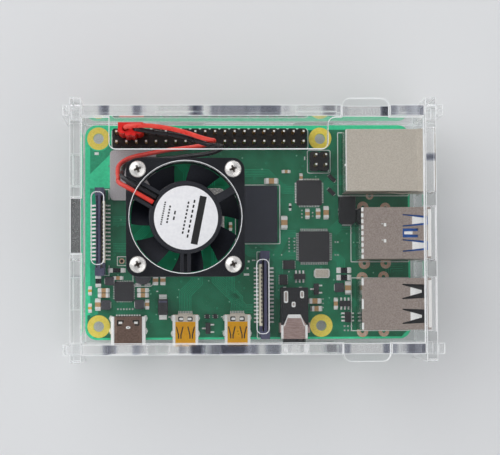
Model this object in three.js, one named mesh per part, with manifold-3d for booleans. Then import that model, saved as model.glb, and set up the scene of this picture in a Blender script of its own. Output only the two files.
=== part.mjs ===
// A single board computer in a clear laser-cut case, with a 30 mm fan hung under the case's lid.
// Millimetres, +Z up. The origin is the centre of the case's footprint on the table.
// +X runs to the network and USB sockets, +Y to the 40-pin header.

import * as THREE from 'three';
import { mergeVertices } from 'three/addons/utils/BufferGeometryUtils.js';
import Module from 'manifold-3d';

const wasm = await Module();
wasm.setup();

// Clear sheet that the case is cut from, and how its pieces meet
const sheet = 2.7;
const jointClearance = 0.15;
const cornerStub = 1.9;
const tabReach = 1.9;
const wallCorner = 0.4;
const footHeight = 1.8;
const lidMargin = 0.8;

// Gaps between the circuit board's edges and the walls
const leftGap = 0.3;
const rightGap = 1.7;
const frontGap = 0.9;
const backGap = 0.6;

// Circuit board
const boardLength = 85;
const boardDepth = 56;
const boardThickness = 1.4;
const boardCorner = 3;
const boardStandoff = 2.3;
const mountingHole = 2.7;
const mountingHoleInset = 3.5;
const mountingHolePitch = 58;

// Sockets that set the height of the case
const usbHeight = 16;
const lidClearance = 0.5;

// Pin headers
const pinPitch = 2.54;
const pinWidth = 0.64;
const pinHeight = 8.5;
const pinTail = 2;
const headerBase = 2.54;
const headerHole = 1;
const headerColumns = 20;
const headerFirstPin = { x: 8.37, y: boardDepth - 4.77 };
const poeFirstPin = { x: 59.83, y: boardDepth - 10.87 };

// Fan
const screwPitch = 24;
const screwInset = 3;
const fanHeight = 7;
const fanCorner = 3;
const fanCentre = { x: 26, y: 31.15 };
const ductWall = 0.9;
const lidOpeningMargin = 0.1;
const fanBladeCount = 7;
const bladeTipClearance = 0.5;
const bladeThickness = 0.7;
const bladeRestAngle = 22.8;
const bladeSweep = -7.5;
const bladeSpread = { root: 34, tip: 33 };
const hubDiameter = 16.2;
const hubWall = 0.7;
const motorBaseDiameter = 18.6;
const motorBaseThickness = 1.8;
const motorBaseRecess = 0.3;
const leadNotch = 0.8;
const ribWidth = 0.9;
const plainStrutWidth = 2;
const strutAngles = [30, 150, 270];
const shaftDiameter = 1.5;
const runningClearance = 0.1;
const bearingWall = 1.05;
const bearingTubeWall = 0.6;
const magnetThickness = 0.75;
const airGap = 0.4;
const labelDiameter = 16.3;
const labelThickness = 0.15;
const stator = {
  seatGap: 0.1,
  hub: 0.9,
  rise: 0.9,
  stack: 1.1,
  rim: 0.7,
  poleWidth: 1.2,
  coilWidth: 2.4,
  coilMargin: 0.6,
  coilGap: 0.2,
  slotWidth: 1.6,
};

// Fan screws and nuts
const screwDiameter = 2.4;
const screwHead = 4.2;
const screwHeadHeight = 1.5;
const screwHole = 2.8;
const frameHoleMargin = 0.2;
const nutAcross = 5;
const nutThickness = 2;
const screwEndPastNut = 0.6;

// Fan lead: two insulated wires and a plug on the header
const wireDiameter = 1.2;
const wireSpacing = 1.5;
const touchGap = 0.3;
const plugWidth = 6.4;
const plugDepth = 3.4;
const plugHeight = 13.4;
const plugFirstColumn = 1;

// Sheet metal of the sockets' shells
const shellSheet = 0.35;
const shellGap = 0.1;

// Places and sizes of the sockets, from the board's lower left corner.
// The overhang is how far the sockets on the right stand out over the board's edge.
const ethernet = { overhang: 2.4, y: boardDepth - 10.25, length: 20.4, width: 15.9, height: 13.5 };
const usbStack = { overhang: 3.2, length: 17.6, width: 13.1 };
const usb3Y = 27;
const usb2Y = 9;
const usbC = { x: 11.2, y: -1.3, width: 8.94, height: 3.2, length: 7.4, corner: 1.55, portDepth: 5.6 };
const usbCTongue = { width: 6.6, thickness: 0.7, setBack: 0.8 };
const hdmi = { y: -1.6, width: 6.5, height: 2.9, length: 8.1, portDepth: 5.6 };
const hdmiTongue = { width: 4.2, thickness: 0.6, setBack: 0.7, aboveMiddle: 0.15 };
const hdmiX = [26, 39.5];
const audio = { x: 54.2, y: 1.1, width: 7, length: 12.3, height: 6, barrel: 6, bore: 3.6, endWall: 2 };
const audioNose = 2.4;
const audioCover = {
  sheet: 0.3,
  sideGap: 0.1,
  inset: 0.3,
  front: 0.1,
  shoulder: 2.3,
  tip: 5.2,
  tipWidth: 2.8,
  sideFront: 0.6,
  sideBack: 3.2,
  earBack: 2.2,
  earOverlap: 0.5,
};

// Springs in the roofs of the USB shells. Their back, front and tip lie this far behind the shell's front.
const usb3Springs = { offset: 3.2, width: 3.4, tipWidth: 1.8, back: 7.1, front: 0.6, tip: 1.2 };
const usb2Springs = { offset: 3.15, width: 4.2, tipWidth: 1.3, back: 7.3, front: 1, tip: 2.5 };
const usb3Tongue = { width: 0.9, window: 2.3, back: 7.1, front: 3.15, tip: 6.7 };

// Ribbon connectors: two of one kind, turned half round to each other
const ribbon = { length: 22, width: 2.6, height: 4.9, contacts: 15, contactPitch: 1 };
const displayPlace = { x: 4, y: 28 };
const cameraPlace = { x: 46.5, y: 11.5 };
const latchClearance = 0.2;

// Chips and cans
const soc = { x: 29.3, y: 32.5, size: 15, height: 0.8, lid: 13.8, lidHeight: 1.5 };
const ram = { x: 45, y: 32.6, width: 10.2, depth: 14.8, height: 0.9 };
const wifi = { x: 12.5, y: 42.85, width: 12, depth: 13.1, height: 1.7, sheet: 0.25 };
const usbChip = { x: 59.7, y: 24.1, size: 8, height: 0.85 };
const phyChip = { x: 58.5, y: 38.2, size: 6.6, height: 0.85 };
const powerChip = { x: 10.1, y: 12.6, size: 5, height: 0.85 };
const sdSocket = { x: 0.9, y: 28, width: 12, depth: 14.5, height: 1.5 };
const drumInductor = { x: 15, y: 16.5, diameter: 4.4, height: 3 };
const diode = { x: 20.2, y: 8.5, width: 2.6, depth: 4.2, height: 2.2, leadDepth: 1.2, leadHeight: 0.9 };
const capacitor = { x: 68.3, y: 33.5, width: 4.3, depth: 7.2, height: 2.8 };
const crystalCan = { x: 61.7, y: 17.1, width: 3.6, depth: 2.2, height: 0.8 };

// Sizes worked out from the ones above
const caseLength = boardLength + leftGap + rightGap + 2 * sheet;
const caseDepth = boardDepth + frontGap + backGap + 2 * sheet;
const boardLeft = -caseLength / 2 + sheet + leftGap;
const boardFront = -caseDepth / 2 + sheet + frontGap;
const floorTop = footHeight + sheet;
const boardBottom = floorTop + boardStandoff;
const boardTop = boardBottom + boardThickness;
const lidBottom = boardTop + usbHeight + lidClearance;
const lidTop = lidBottom + sheet;
const wallHeight = lidTop + lidMargin;
const fanSize = screwPitch + 2 * screwInset;
const ductDiameter = fanSize - 2 * ductWall;
const lidFanOpening = ductDiameter + 2 * lidOpeningMargin;
const overcut = 1;

// Helpers

function onBoard(place) {
  return { x: boardLeft + place.x, y: boardFront + place.y };
}

function solid(geometry) {
  const bare = geometry.clone();
  bare.deleteAttribute('normal');
  bare.deleteAttribute('uv');
  const merged = mergeVertices(bare, 1e-4);
  const mesh = new wasm.Mesh({
    numProp: 3,
    vertProperties: new Float32Array(merged.attributes.position.array),
    triVerts: new Uint32Array(merged.index.array),
  });
  return new wasm.Manifold(mesh);
}

function geometryOf(manifold) {
  const mesh = manifold.getMesh();
  const geometry = new THREE.BufferGeometry();
  geometry.setAttribute('position', new THREE.BufferAttribute(new Float32Array(mesh.vertProperties), 3));
  geometry.setIndex(new THREE.BufferAttribute(new Uint32Array(mesh.triVerts), 1));
  const flat = geometry.toNonIndexed();
  flat.computeVertexNormals();
  return flat;
}

function block(x0, x1, y0, y1, z0, z1) {
  const geometry = new THREE.BoxGeometry(x1 - x0, y1 - y0, z1 - z0);
  geometry.translate((x0 + x1) / 2, (y0 + y1) / 2, (z0 + z1) / 2);
  return solid(geometry);
}

// A block standing on height z0 around a centre
function blockAt(centre, width, depth, z0, z1) {
  const { x, y } = centre;
  return block(x - width / 2, x + width / 2, y - depth / 2, y + depth / 2, z0, z1);
}

function roundedOutline(x0, x1, y0, y1, radius) {
  const shape = new THREE.Shape();
  shape.moveTo(x0 + radius, y0);
  shape.lineTo(x1 - radius, y0);
  shape.absarc(x1 - radius, y0 + radius, radius, -Math.PI / 2, 0, false);
  shape.lineTo(x1, y1 - radius);
  shape.absarc(x1 - radius, y1 - radius, radius, 0, Math.PI / 2, false);
  shape.lineTo(x0 + radius, y1);
  shape.absarc(x0 + radius, y1 - radius, radius, Math.PI / 2, Math.PI, false);
  shape.lineTo(x0, y0 + radius);
  shape.absarc(x0 + radius, y0 + radius, radius, Math.PI, Math.PI * 1.5, false);
  return shape;
}

function polygon(points) {
  const shape = new THREE.Shape();
  shape.moveTo(points[0][0], points[0][1]);
  for (const [x, y] of points.slice(1)) {
    shape.lineTo(x, y);
  }
  shape.closePath();
  return shape;
}

function extruded(shape, z0, z1, curveSegments = 2) {
  const geometry = new THREE.ExtrudeGeometry(shape, { depth: z1 - z0, bevelEnabled: false, curveSegments });
  geometry.translate(0, 0, z0);
  return solid(geometry);
}

function centredOutline(centre, width, depth, radius) {
  const { x, y } = centre;
  return roundedOutline(x - width / 2, x + width / 2, y - depth / 2, y + depth / 2, radius);
}

function roundedBlock(centre, width, depth, radius, z0, z1) {
  return extruded(centredOutline(centre, width, depth, radius), z0, z1, 1);
}

function cylinder(centre, radius, z0, z1, segments) {
  const geometry = new THREE.CylinderGeometry(radius, radius, z1 - z0, segments);
  geometry.rotateX(Math.PI / 2);
  geometry.translate(centre.x, centre.y, (z0 + z1) / 2);
  return solid(geometry);
}

// A body turned about the vertical through a centre, from (radius, height) pairs
function turned(profile, centre, segments, startAngle = 0) {
  const points = profile.map(([radius, height]) => new THREE.Vector2(radius, height));
  const geometry = new THREE.LatheGeometry(points, segments, startAngle);
  geometry.rotateX(Math.PI / 2);
  geometry.translate(centre.x, centre.y, 0);
  return solid(geometry);
}

function ringProfile(inner, outer, z0, z1) {
  return [[inner, z0], [outer, z0], [outer, z1], [inner, z1], [inner, z0]];
}

function joined(pieces) {
  return pieces.reduce((whole, piece) => whole.add(piece));
}

function cut(body, cutters) {
  return cutters.reduce((rest, cutter) => rest.subtract(cutter), body);
}

// An outline drawn as (across, up) becomes a sheet that stands facing Y
function standFacingY(body, y) {
  const basis = new THREE.Matrix4();
  basis.makeBasis(new THREE.Vector3(1, 0, 0), new THREE.Vector3(0, 0, 1), new THREE.Vector3(0, -1, 0));
  basis.setPosition(0, y, 0);
  return solid(geometryOf(body).applyMatrix4(basis));
}

// The same for a sheet that stands facing X
function standFacingX(body, x) {
  const basis = new THREE.Matrix4();
  basis.makeBasis(new THREE.Vector3(0, 1, 0), new THREE.Vector3(0, 0, 1), new THREE.Vector3(1, 0, 0));
  basis.setPosition(x, 0, 0);
  return solid(geometryOf(body).applyMatrix4(basis));
}

const part = new THREE.Group();

function addPiece(name, body, material) {
  const geometry = body instanceof THREE.BufferGeometry ? body : geometryOf(body);
  const mesh = new THREE.Mesh(geometry, material);
  mesh.name = name;
  part.add(mesh);
}

// Materials

function plastic(colour, roughness = 0.5) {
  return new THREE.MeshStandardMaterial({ color: colour, roughness, metalness: 0 });
}

function metal(colour, roughness = 0.35) {
  return new THREE.MeshStandardMaterial({ color: colour, roughness, metalness: 1 });
}

const clearAcrylic = new THREE.MeshStandardMaterial({
  color: '#e8ecf0',
  roughness: 0.05,
  metalness: 0,
  transparent: true,
  opacity: 0.3,
});
const boardGreen = plastic('#1d7a4c', 0.4);
const blackPlastic = plastic('#17171b', 0.45);
const fanBlack = plastic('#20202a', 0.4);
const chipBlack = plastic('#2a2a2e', 0.55);
const creamPlastic = plastic('#e6ddc6', 0.5);
const usbBlue = plastic('#2a62c8', 0.45);
const redPlastic = plastic('#e0201c', 0.45);
const redWire = plastic('#d8332e', 0.4);
const blackWire = plastic('#17161b', 0.4);
const labelWhite = plastic('#f1f1f0', 0.5);
const nickel = metal('#c9c7c2', 0.25);
const satinSteel = metal('#b5b1aa', 0.4);
const goldPlate = metal('#d9a132', 0.3);
const bronze = metal('#8a6f58', 0.4);
const copper = metal('#b5673a', 0.4);
const magnetGrey = metal('#4b4b50', 0.6);

// Clear case

// Where the lid and the floor plate pass through the walls, from the board's lower left corner
const lidSideTab = { x: boardLength - 13.3, width: 12, corner: 2 };
const lidLeftTab = { y: 29, width: 14 };
const floorTabs = [{ x: 24.85, width: 12.5 }, { x: boardLength - 24.75, width: 10.1 }];
const floorEndTabs = [{ y: 12, width: 8 }, { y: boardDepth - 12, width: 8 }];
const cardNotch = { y: 28, width: 15, depth: 4.5, aboveSlot: 0.8 };

// Cuts at the two ends of a wall that crosses its neighbours, from the top or the bottom edge to mid height
function cornerSlots(span, fromTop) {
  const slotFrom = fromTop ? wallHeight / 2 - jointClearance : -overcut;
  const slotTo = fromTop ? wallHeight + overcut : wallHeight / 2 + jointClearance;
  const slots = [];
  for (const side of [-1, 1]) {
    const middle = side * (span / 2 - sheet / 2);
    const half = sheet / 2 + jointClearance;
    slots.push(block(middle - half, middle + half, slotFrom, slotTo, -overcut, sheet + overcut));
  }
  return slots;
}

// A flat wall, drawn across and up, before its own openings are cut
function wallBlank(span) {
  const half = span / 2 + cornerStub;
  return extruded(roundedOutline(-half, half, 0, wallHeight, wallCorner), 0, sheet, 1);
}

function throughSheet(centre, width, low, high, radius = 0.6) {
  const outline = roundedOutline(centre - width / 2, centre + width / 2, low, high, radius);
  return extruded(outline, -overcut, sheet + overcut);
}

// The lid's tab lies in a notch that is open at the wall's top edge
function lidNotch(centre, width) {
  const half = width / 2 + jointClearance;
  const high = wallHeight + overcut;
  return block(centre - half, centre + half, lidBottom, high, -overcut, sheet + overcut);
}

function floorSlot(centre, width) {
  const half = width / 2 + jointClearance;
  return block(
    centre - half, centre + half,
    footHeight - jointClearance, floorTop + jointClearance,
    -overcut, sheet + overcut,
  );
}

// The end walls slide down over the floor plate's tabs, so their notches are open below
function floorNotch(centre, width) {
  const half = width / 2 + jointClearance;
  const high = floorTop + jointClearance;
  return block(centre - half, centre + half, -overcut, high, -overcut, sheet + overcut);
}

const portMargin = { usbC: 0.75, hdmi: 1.4, audio: 0.7, ethernet: 0.3, usb: 0.35 };
const portDrop = 0.4;

function frontWall() {
  const cuts = cornerSlots(caseLength, true);
  cuts.push(lidNotch(boardLeft + lidSideTab.x, lidSideTab.width));
  for (const tab of floorTabs) {
    cuts.push(floorSlot(boardLeft + tab.x, tab.width));
  }
  const usbCTop = boardTop + usbC.height + portMargin.usbC;
  const usbCWidth = usbC.width + 2 * portMargin.usbC;
  cuts.push(throughSheet(boardLeft + usbC.x, usbCWidth, boardTop - portDrop, usbCTop));
  const hdmiTop = boardTop + hdmi.height + portMargin.hdmi;
  const hdmiWidth = hdmi.width + 2 * portMargin.hdmi;
  for (const x of hdmiX) {
    cuts.push(throughSheet(boardLeft + x, hdmiWidth, boardTop - portDrop, hdmiTop));
  }
  const audioHole = audio.barrel + 2 * portMargin.audio;
  const audioMiddle = { x: boardLeft + audio.x, y: boardTop + audio.height / 2 };
  cuts.push(cylinder(audioMiddle, audioHole / 2, -overcut, sheet + overcut, 20));
  return standFacingY(cut(wallBlank(caseLength), cuts), -caseDepth / 2 + sheet);
}

function backWall() {
  const cuts = cornerSlots(caseLength, true);
  cuts.push(lidNotch(boardLeft + lidSideTab.x, lidSideTab.width));
  for (const tab of floorTabs) {
    cuts.push(floorSlot(boardLeft + tab.x, tab.width));
  }
  return standFacingY(cut(wallBlank(caseLength), cuts), caseDepth / 2);
}

function leftWall() {
  const cuts = cornerSlots(caseDepth, false);
  cuts.push(lidNotch(boardFront + lidLeftTab.y, lidLeftTab.width));
  for (const tab of floorEndTabs) {
    cuts.push(floorNotch(boardFront + tab.y, tab.width));
  }
  const notchTop = boardBottom + cardNotch.aboveSlot;
  cuts.push(throughSheet(boardFront + cardNotch.y, cardNotch.width, -overcut, notchTop, 0.9));
  return standFacingX(cut(wallBlank(caseDepth), cuts), -caseLength / 2);
}

function rightWall() {
  const cuts = cornerSlots(caseDepth, false);
  for (const tab of floorEndTabs) {
    cuts.push(floorNotch(boardFront + tab.y, tab.width));
  }
  const ethernetWidth = ethernet.width + 2 * portMargin.ethernet;
  const ethernetTop = boardTop + ethernet.height + portMargin.ethernet;
  cuts.push(throughSheet(boardFront + ethernet.y, ethernetWidth, boardTop - portDrop, ethernetTop, 0.4));
  for (const y of [usb3Y, usb2Y]) {
    const width = usbStack.width + 2 * portMargin.usb;
    const top = boardTop + usbHeight + portMargin.usb;
    cuts.push(throughSheet(boardFront + y, width, boardTop - portDrop, top, 0.4));
  }
  return standFacingX(cut(wallBlank(caseDepth), cuts), caseLength / 2 - sheet);
}

function bottomPlate() {
  const halfLength = caseLength / 2 - sheet - jointClearance;
  const halfDepth = caseDepth / 2 - sheet - jointClearance;
  const pieces = [block(-halfLength, halfLength, -halfDepth, halfDepth, footHeight, floorTop)];
  for (const tab of floorTabs) {
    pieces.push(blockAt({ x: boardLeft + tab.x, y: 0 }, tab.width, caseDepth, footHeight, floorTop));
  }
  for (const tab of floorEndTabs) {
    pieces.push(blockAt({ x: 0, y: boardFront + tab.y }, caseLength, tab.width, footHeight, floorTop));
  }
  const notchEnd = boardLeft + cardNotch.depth;
  const half = cardNotch.width / 2;
  const middle = boardFront + cardNotch.y;
  const notch = roundedOutline(-caseLength / 2 - sheet, notchEnd, middle - half, middle + half, 1.5);
  return cut(joined(pieces), [extruded(notch, footHeight - overcut, floorTop + overcut)]);
}

// Openings of the lid: one round the header's pins, and one over each ribbon connector
const headerSlot = { pastFirst: 1.5, pastLast: 5.42, inFront: 2.88, corner: 1.5, flare: 2 };
const ribbonSlots = [
  { over: displayPlace, right: -0.115, back: 0.4, width: 3.03, length: 18.2 },
  { over: cameraPlace, right: -1.07, back: -0.5, width: 2.9, length: 18.6 },
];

// The lid's outline, with the header's slot open at its back edge
function lidOutline() {
  const left = -caseLength / 2 + sheet + jointClearance;
  const right = -left;
  const front = -caseDepth / 2 + sheet + jointClearance;
  const back = -front;
  const firstPin = onBoard(headerFirstPin);
  const slotLeft = firstPin.x - headerSlot.pastFirst;
  const slotRight = firstPin.x + (headerColumns - 1) * pinPitch + headerSlot.pastLast;
  const slotFront = firstPin.y - headerSlot.inFront;
  const r = headerSlot.corner;
  const shape = new THREE.Shape();
  shape.moveTo(left, front);
  shape.lineTo(right, front);
  shape.lineTo(right, back);
  const flareX = slotRight + headerSlot.flare;
  shape.lineTo(flareX, back);
  shape.absarc(flareX, back - headerSlot.flare, headerSlot.flare, Math.PI / 2, Math.PI, false);
  shape.lineTo(slotRight, slotFront + r);
  shape.absarc(slotRight - r, slotFront + r, r, 0, -Math.PI / 2, true);
  shape.lineTo(slotLeft + r, slotFront);
  shape.absarc(slotLeft + r, slotFront + r, r, -Math.PI / 2, -Math.PI, true);
  shape.lineTo(slotLeft, back);
  shape.lineTo(left, back);
  shape.closePath();
  return shape;
}

function screwPlaces() {
  const centre = onBoard(fanCentre);
  const half = screwPitch / 2;
  const corners = [[-1, -1], [1, -1], [-1, 1], [1, 1]];
  return corners.map(([i, j]) => ({ x: centre.x + i * half, y: centre.y + j * half }));
}

function topPlate() {
  const tabDepth = caseDepth / 2 + tabReach;
  const tabLeft = boardLeft + lidSideTab.x - lidSideTab.width / 2;
  const tabRight = tabLeft + lidSideTab.width;
  const sideTabs = roundedOutline(tabLeft, tabRight, -tabDepth, tabDepth, lidSideTab.corner);
  const leftTab = blockAt(
    { x: -caseLength / 4, y: boardFront + lidLeftTab.y },
    caseLength / 2, lidLeftTab.width, lidBottom, lidTop,
  );
  const plate = joined([
    extruded(lidOutline(), lidBottom, lidTop),
    extruded(sideTabs, lidBottom, lidTop),
    leftTab,
  ]);
  const low = lidBottom - overcut;
  const high = lidTop + overcut;
  const cuts = [cylinder(onBoard(fanCentre), lidFanOpening / 2, low, high, 48)];
  for (const place of screwPlaces()) {
    cuts.push(cylinder(place, screwHole / 2, low, high, 12));
  }
  for (const { over, right, back, width, length } of ribbonSlots) {
    const middle = onBoard({ x: over.x + right, y: over.y + back });
    cuts.push(extruded(centredOutline(middle, width, length, width / 2 - 0.3), low, high));
  }
  return cut(plate, cuts);
}

// Fan

const fanTop = lidBottom;
const fanBottom = fanTop - fanHeight;
const motorBaseTop = fanTop - motorBaseRecess;
const motorBaseBottom = motorBaseTop - motorBaseThickness;
const rotorBottom = fanBottom + 0.4;
const rotorTop = motorBaseBottom - 0.5;
const cupFloor = 0.8;
const shaftRadius = shaftDiameter / 2;
const bearingInner = shaftRadius + runningClearance;
const bearingOuter = bearingInner + bearingWall;
const tubeInner = bearingOuter + 0.05;
const tubeOuter = tubeInner + bearingTubeWall;
const cupInner = hubDiameter / 2 - hubWall;
const magnetOuter = cupInner - 0.05;
const magnetInner = magnetOuter - magnetThickness;
const poleRadius = magnetInner - airGap;
const bearingEnd = rotorBottom + cupFloor + 0.4;
const channelFloor = fanTop - 0.1 - wireDiameter - touchGap;
const channelWidth = wireSpacing + wireDiameter + 2 * touchGap;
const leadNotchRadius = motorBaseDiameter / 2 - leadNotch;
const turnSegments = 24;

// A bar that runs outwards from the fan's axis at an angle
function radialBar(angle, innerRadius, outerRadius, offset, width, z0, z1) {
  const geometry = new THREE.BoxGeometry(outerRadius - innerRadius, width, z1 - z0);
  geometry.translate((innerRadius + outerRadius) / 2, offset, (z0 + z1) / 2);
  geometry.rotateZ(THREE.MathUtils.degToRad(angle));
  const centre = onBoard(fanCentre);
  geometry.translate(centre.x, centre.y, 0);
  return solid(geometry);
}

function fanFrame() {
  const centre = onBoard(fanCentre);
  const low = fanBottom - overcut;
  const high = fanTop + overcut;
  const holeRadius = screwHole / 2 + frameHoleMargin;
  const leadAngle = strutAngles[1];
  const outline = centredOutline(centre, fanSize, fanSize, fanCorner);
  const housing = cut(extruded(outline, fanBottom, fanTop), [
    cylinder(centre, ductDiameter / 2, low, high, 48),
    ...screwPlaces().map((place) => cylinder(place, holeRadius, low, high, 12)),
    radialBar(leadAngle, ductDiameter / 2 - overcut, fanSize, 0, channelWidth, channelFloor, high),
  ]);
  const inner = motorBaseDiameter / 2 - 0.5;
  const outer = ductDiameter / 2 + 0.3;
  const ribOffset = (channelWidth + ribWidth) / 2;
  const pairOffset = ribWidth;
  const ribs = [
    radialBar(strutAngles[0], inner, outer, 0, plainStrutWidth, motorBaseBottom, motorBaseTop),
    radialBar(leadAngle, inner, outer, 0, channelWidth + 0.2, motorBaseBottom, channelFloor),
    radialBar(leadAngle, inner, outer, ribOffset, ribWidth, motorBaseBottom, motorBaseTop),
    radialBar(leadAngle, inner, outer, -ribOffset, ribWidth, motorBaseBottom, motorBaseTop),
    radialBar(strutAngles[2], inner, outer, pairOffset, ribWidth, motorBaseBottom, motorBaseTop),
    radialBar(strutAngles[2], inner, outer, -pairOffset, ribWidth, motorBaseBottom, motorBaseTop),
  ];
  const base = cylinder(centre, motorBaseDiameter / 2, motorBaseBottom, motorBaseTop, 36);
  const tube = cylinder(centre, tubeOuter, bearingEnd, motorBaseBottom + 0.3, turnSegments);
  const bore = cylinder(centre, tubeInner, bearingEnd - overcut, motorBaseTop - 0.8, turnSegments);
  const notch = radialBar(leadAngle, leadNotchRadius, outer, 0, channelWidth, channelFloor, high);
  return cut(joined([housing, ...ribs, base, tube]), [bore, notch]);
}

// One blade as a loft: its chord rises along the turn, and the blade leans back from the hub to the tip
function bladeGeometry() {
  const stations = 5;
  const chordSteps = 4;
  const rootRadius = hubDiameter / 2 - 0.4;
  const tipRadius = ductDiameter / 2 - bladeTipClearance;
  const bladeLow = rotorBottom + 0.2;
  const bladeHigh = rotorTop - 0.3;
  const positions = [];
  const ring = 2 * (chordSteps + 1);
  for (let i = 0; i < stations; i += 1) {
    const along = i / (stations - 1);
    const radius = rootRadius + along * (tipRadius - rootRadius);
    const middleAngle = bladeRestAngle + bladeSweep * along;
    const spread = bladeSpread.root + along * (bladeSpread.tip - bladeSpread.root);
    for (const face of [0, 1]) {
      for (let j = 0; j <= chordSteps; j += 1) {
        const share = face === 0 ? j / chordSteps : 1 - j / chordSteps;
        const angle = THREE.MathUtils.degToRad(middleAngle + (share - 0.5) * spread);
        const rise = share ** 1.3 * (bladeHigh - bladeLow - bladeThickness);
        const height = bladeLow + rise + (face === 0 ? 0 : bladeThickness);
        positions.push(radius * Math.cos(angle), radius * Math.sin(angle), height);
      }
    }
  }
  const triangles = [];
  for (let i = 0; i + 1 < stations; i += 1) {
    for (let j = 0; j < ring; j += 1) {
      const a = i * ring + j;
      const b = i * ring + ((j + 1) % ring);
      triangles.push(a, b, b + ring, a, b + ring, a + ring);
    }
  }
  const lastRing = (stations - 1) * ring;
  for (let j = 0; j < chordSteps; j += 1) {
    const opposite = ring - 1 - j;
    triangles.push(j, opposite, j + 1, j + 1, opposite, opposite - 1);
    triangles.push(lastRing + j, lastRing + j + 1, lastRing + opposite);
    triangles.push(lastRing + j + 1, lastRing + opposite - 1, lastRing + opposite);
  }
  const geometry = new THREE.BufferGeometry();
  geometry.setAttribute('position', new THREE.BufferAttribute(new Float32Array(positions), 3));
  geometry.setIndex(triangles);
  return geometry;
}

function fanRotor() {
  const centre = onBoard(fanCentre);
  const hub = hubDiameter / 2;
  const cupProfile = [
    [shaftRadius + 0.05, rotorBottom],
    [hub - 0.6, rotorBottom],
    [hub, rotorBottom + 0.6],
    [hub, rotorTop],
    [cupInner, rotorTop],
    [cupInner, rotorBottom + cupFloor],
    [shaftRadius + 0.05, rotorBottom + cupFloor],
    [shaftRadius + 0.05, rotorBottom],
  ];
  const cup = turned(cupProfile, centre, turnSegments);
  const inside = cylinder(centre, cupInner + 0.2, rotorBottom - overcut, rotorTop + overcut, turnSegments);
  const blades = [];
  for (let i = 0; i < fanBladeCount; i += 1) {
    const blade = bladeGeometry();
    blade.rotateZ((i * 2 * Math.PI) / fanBladeCount);
    blade.translate(centre.x, centre.y, 0);
    blades.push(cut(solid(blade), [inside]));
  }
  return joined([cup, ...blades]);
}

function fanMotorPieces() {
  const centre = onBoard(fanCentre);
  const shaftTop = motorBaseTop - 1.2;
  const chamfer = 0.2;
  const shaftProfile = [
    [0, rotorBottom],
    [shaftRadius, rotorBottom],
    [shaftRadius, shaftTop - chamfer],
    [shaftRadius - chamfer, shaftTop],
    [0, shaftTop],
  ];
  addPiece('fan_shaft', turned(shaftProfile, centre, turnSegments), satinSteel);
  const bearingProfile = ringProfile(bearingInner, bearingOuter, bearingEnd + 0.1, motorBaseTop - 0.9);
  addPiece('fan_bearing', turned(bearingProfile, centre, turnSegments), bronze);
  const magnetLow = rotorBottom + cupFloor + 0.1;
  const magnetProfile = ringProfile(magnetInner, magnetOuter, magnetLow, rotorTop - 0.2);
  addPiece('fan_magnet_ring', turned(magnetProfile, centre, turnSegments), magnetGrey);
  addPiece('fan_stator', fanStator(centre), copper);
  const label = cylinder(centre, labelDiameter / 2, motorBaseTop, motorBaseTop + labelThickness, 36);
  addPiece('fan_label', label, labelWhite);
}

// Four wound poles round the bearing tube
function fanStator(centre) {
  const coreLow = bearingEnd + stator.rise;
  const coreHigh = coreLow + stator.stack;
  const seat = tubeOuter + stator.seatGap;
  const hubOuter = seat + stator.hub;
  const rimInner = poleRadius - stator.rim;
  const pieces = [turned(ringProfile(seat, hubOuter, coreLow, coreHigh), centre, 16)];
  const rim = turned(ringProfile(rimInner, poleRadius, coreLow, coreHigh), centre, 16);
  const gaps = [];
  const poleInner = (seat + hubOuter) / 2;
  const poleOuter = (rimInner + poleRadius) / 2;
  const coilInner = hubOuter + stator.coilGap;
  const coilOuter = rimInner - stator.coilGap;
  const coilLow = coreLow - stator.coilMargin;
  const coilHigh = coreHigh + stator.coilMargin;
  for (let i = 0; i < 4; i += 1) {
    const angle = 45 + 90 * i;
    pieces.push(radialBar(angle, poleInner, poleOuter, 0, stator.poleWidth, coreLow, coreHigh));
    pieces.push(radialBar(angle, coilInner, coilOuter, 0, stator.coilWidth, coilLow, coilHigh));
    gaps.push(radialBar(angle + 45, coilOuter, poleRadius + overcut, 0, stator.slotWidth, fanBottom, fanTop));
  }
  return joined([...pieces, cut(rim, gaps)]);
}

function fanFasteners() {
  const nutTop = fanBottom;
  const nutBottom = nutTop - nutThickness;
  const screwEnd = nutBottom - screwEndPastNut;
  const head = screwHead / 2;
  const shank = screwDiameter / 2;
  screwPlaces().forEach((place, index) => {
    const profile = [
      [0, screwEnd],
      [shank, screwEnd],
      [shank, lidTop],
      [head, lidTop],
      [head, lidTop + screwHeadHeight * 0.45],
      [head * 0.6, lidTop + screwHeadHeight],
      [0, lidTop + screwHeadHeight],
    ];
    const recessLow = lidTop + screwHeadHeight * 0.4;
    const recessHigh = lidTop + screwHeadHeight + overcut;
    const recessLength = head * 1.1;
    const recessWidth = 0.45;
    const screw = cut(turned(profile, place, 12), [
      blockAt(place, recessLength, recessWidth, recessLow, recessHigh),
      blockAt(place, recessWidth, recessLength, recessLow, recessHigh),
    ]);
    addPiece(`fan_screw_${index + 1}`, screw, nickel);
    const corner = nutAcross / 2 / Math.cos(Math.PI / 6);
    const nut = cut(cylinder(place, corner, nutBottom, nutTop, 6), [
      cylinder(place, shank + 0.15, nutBottom - overcut, nutTop + overcut, 12),
    ]);
    addPiece(`fan_nut_${index + 1}`, nut, nickel);
  });
}

// Fan lead

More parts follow.
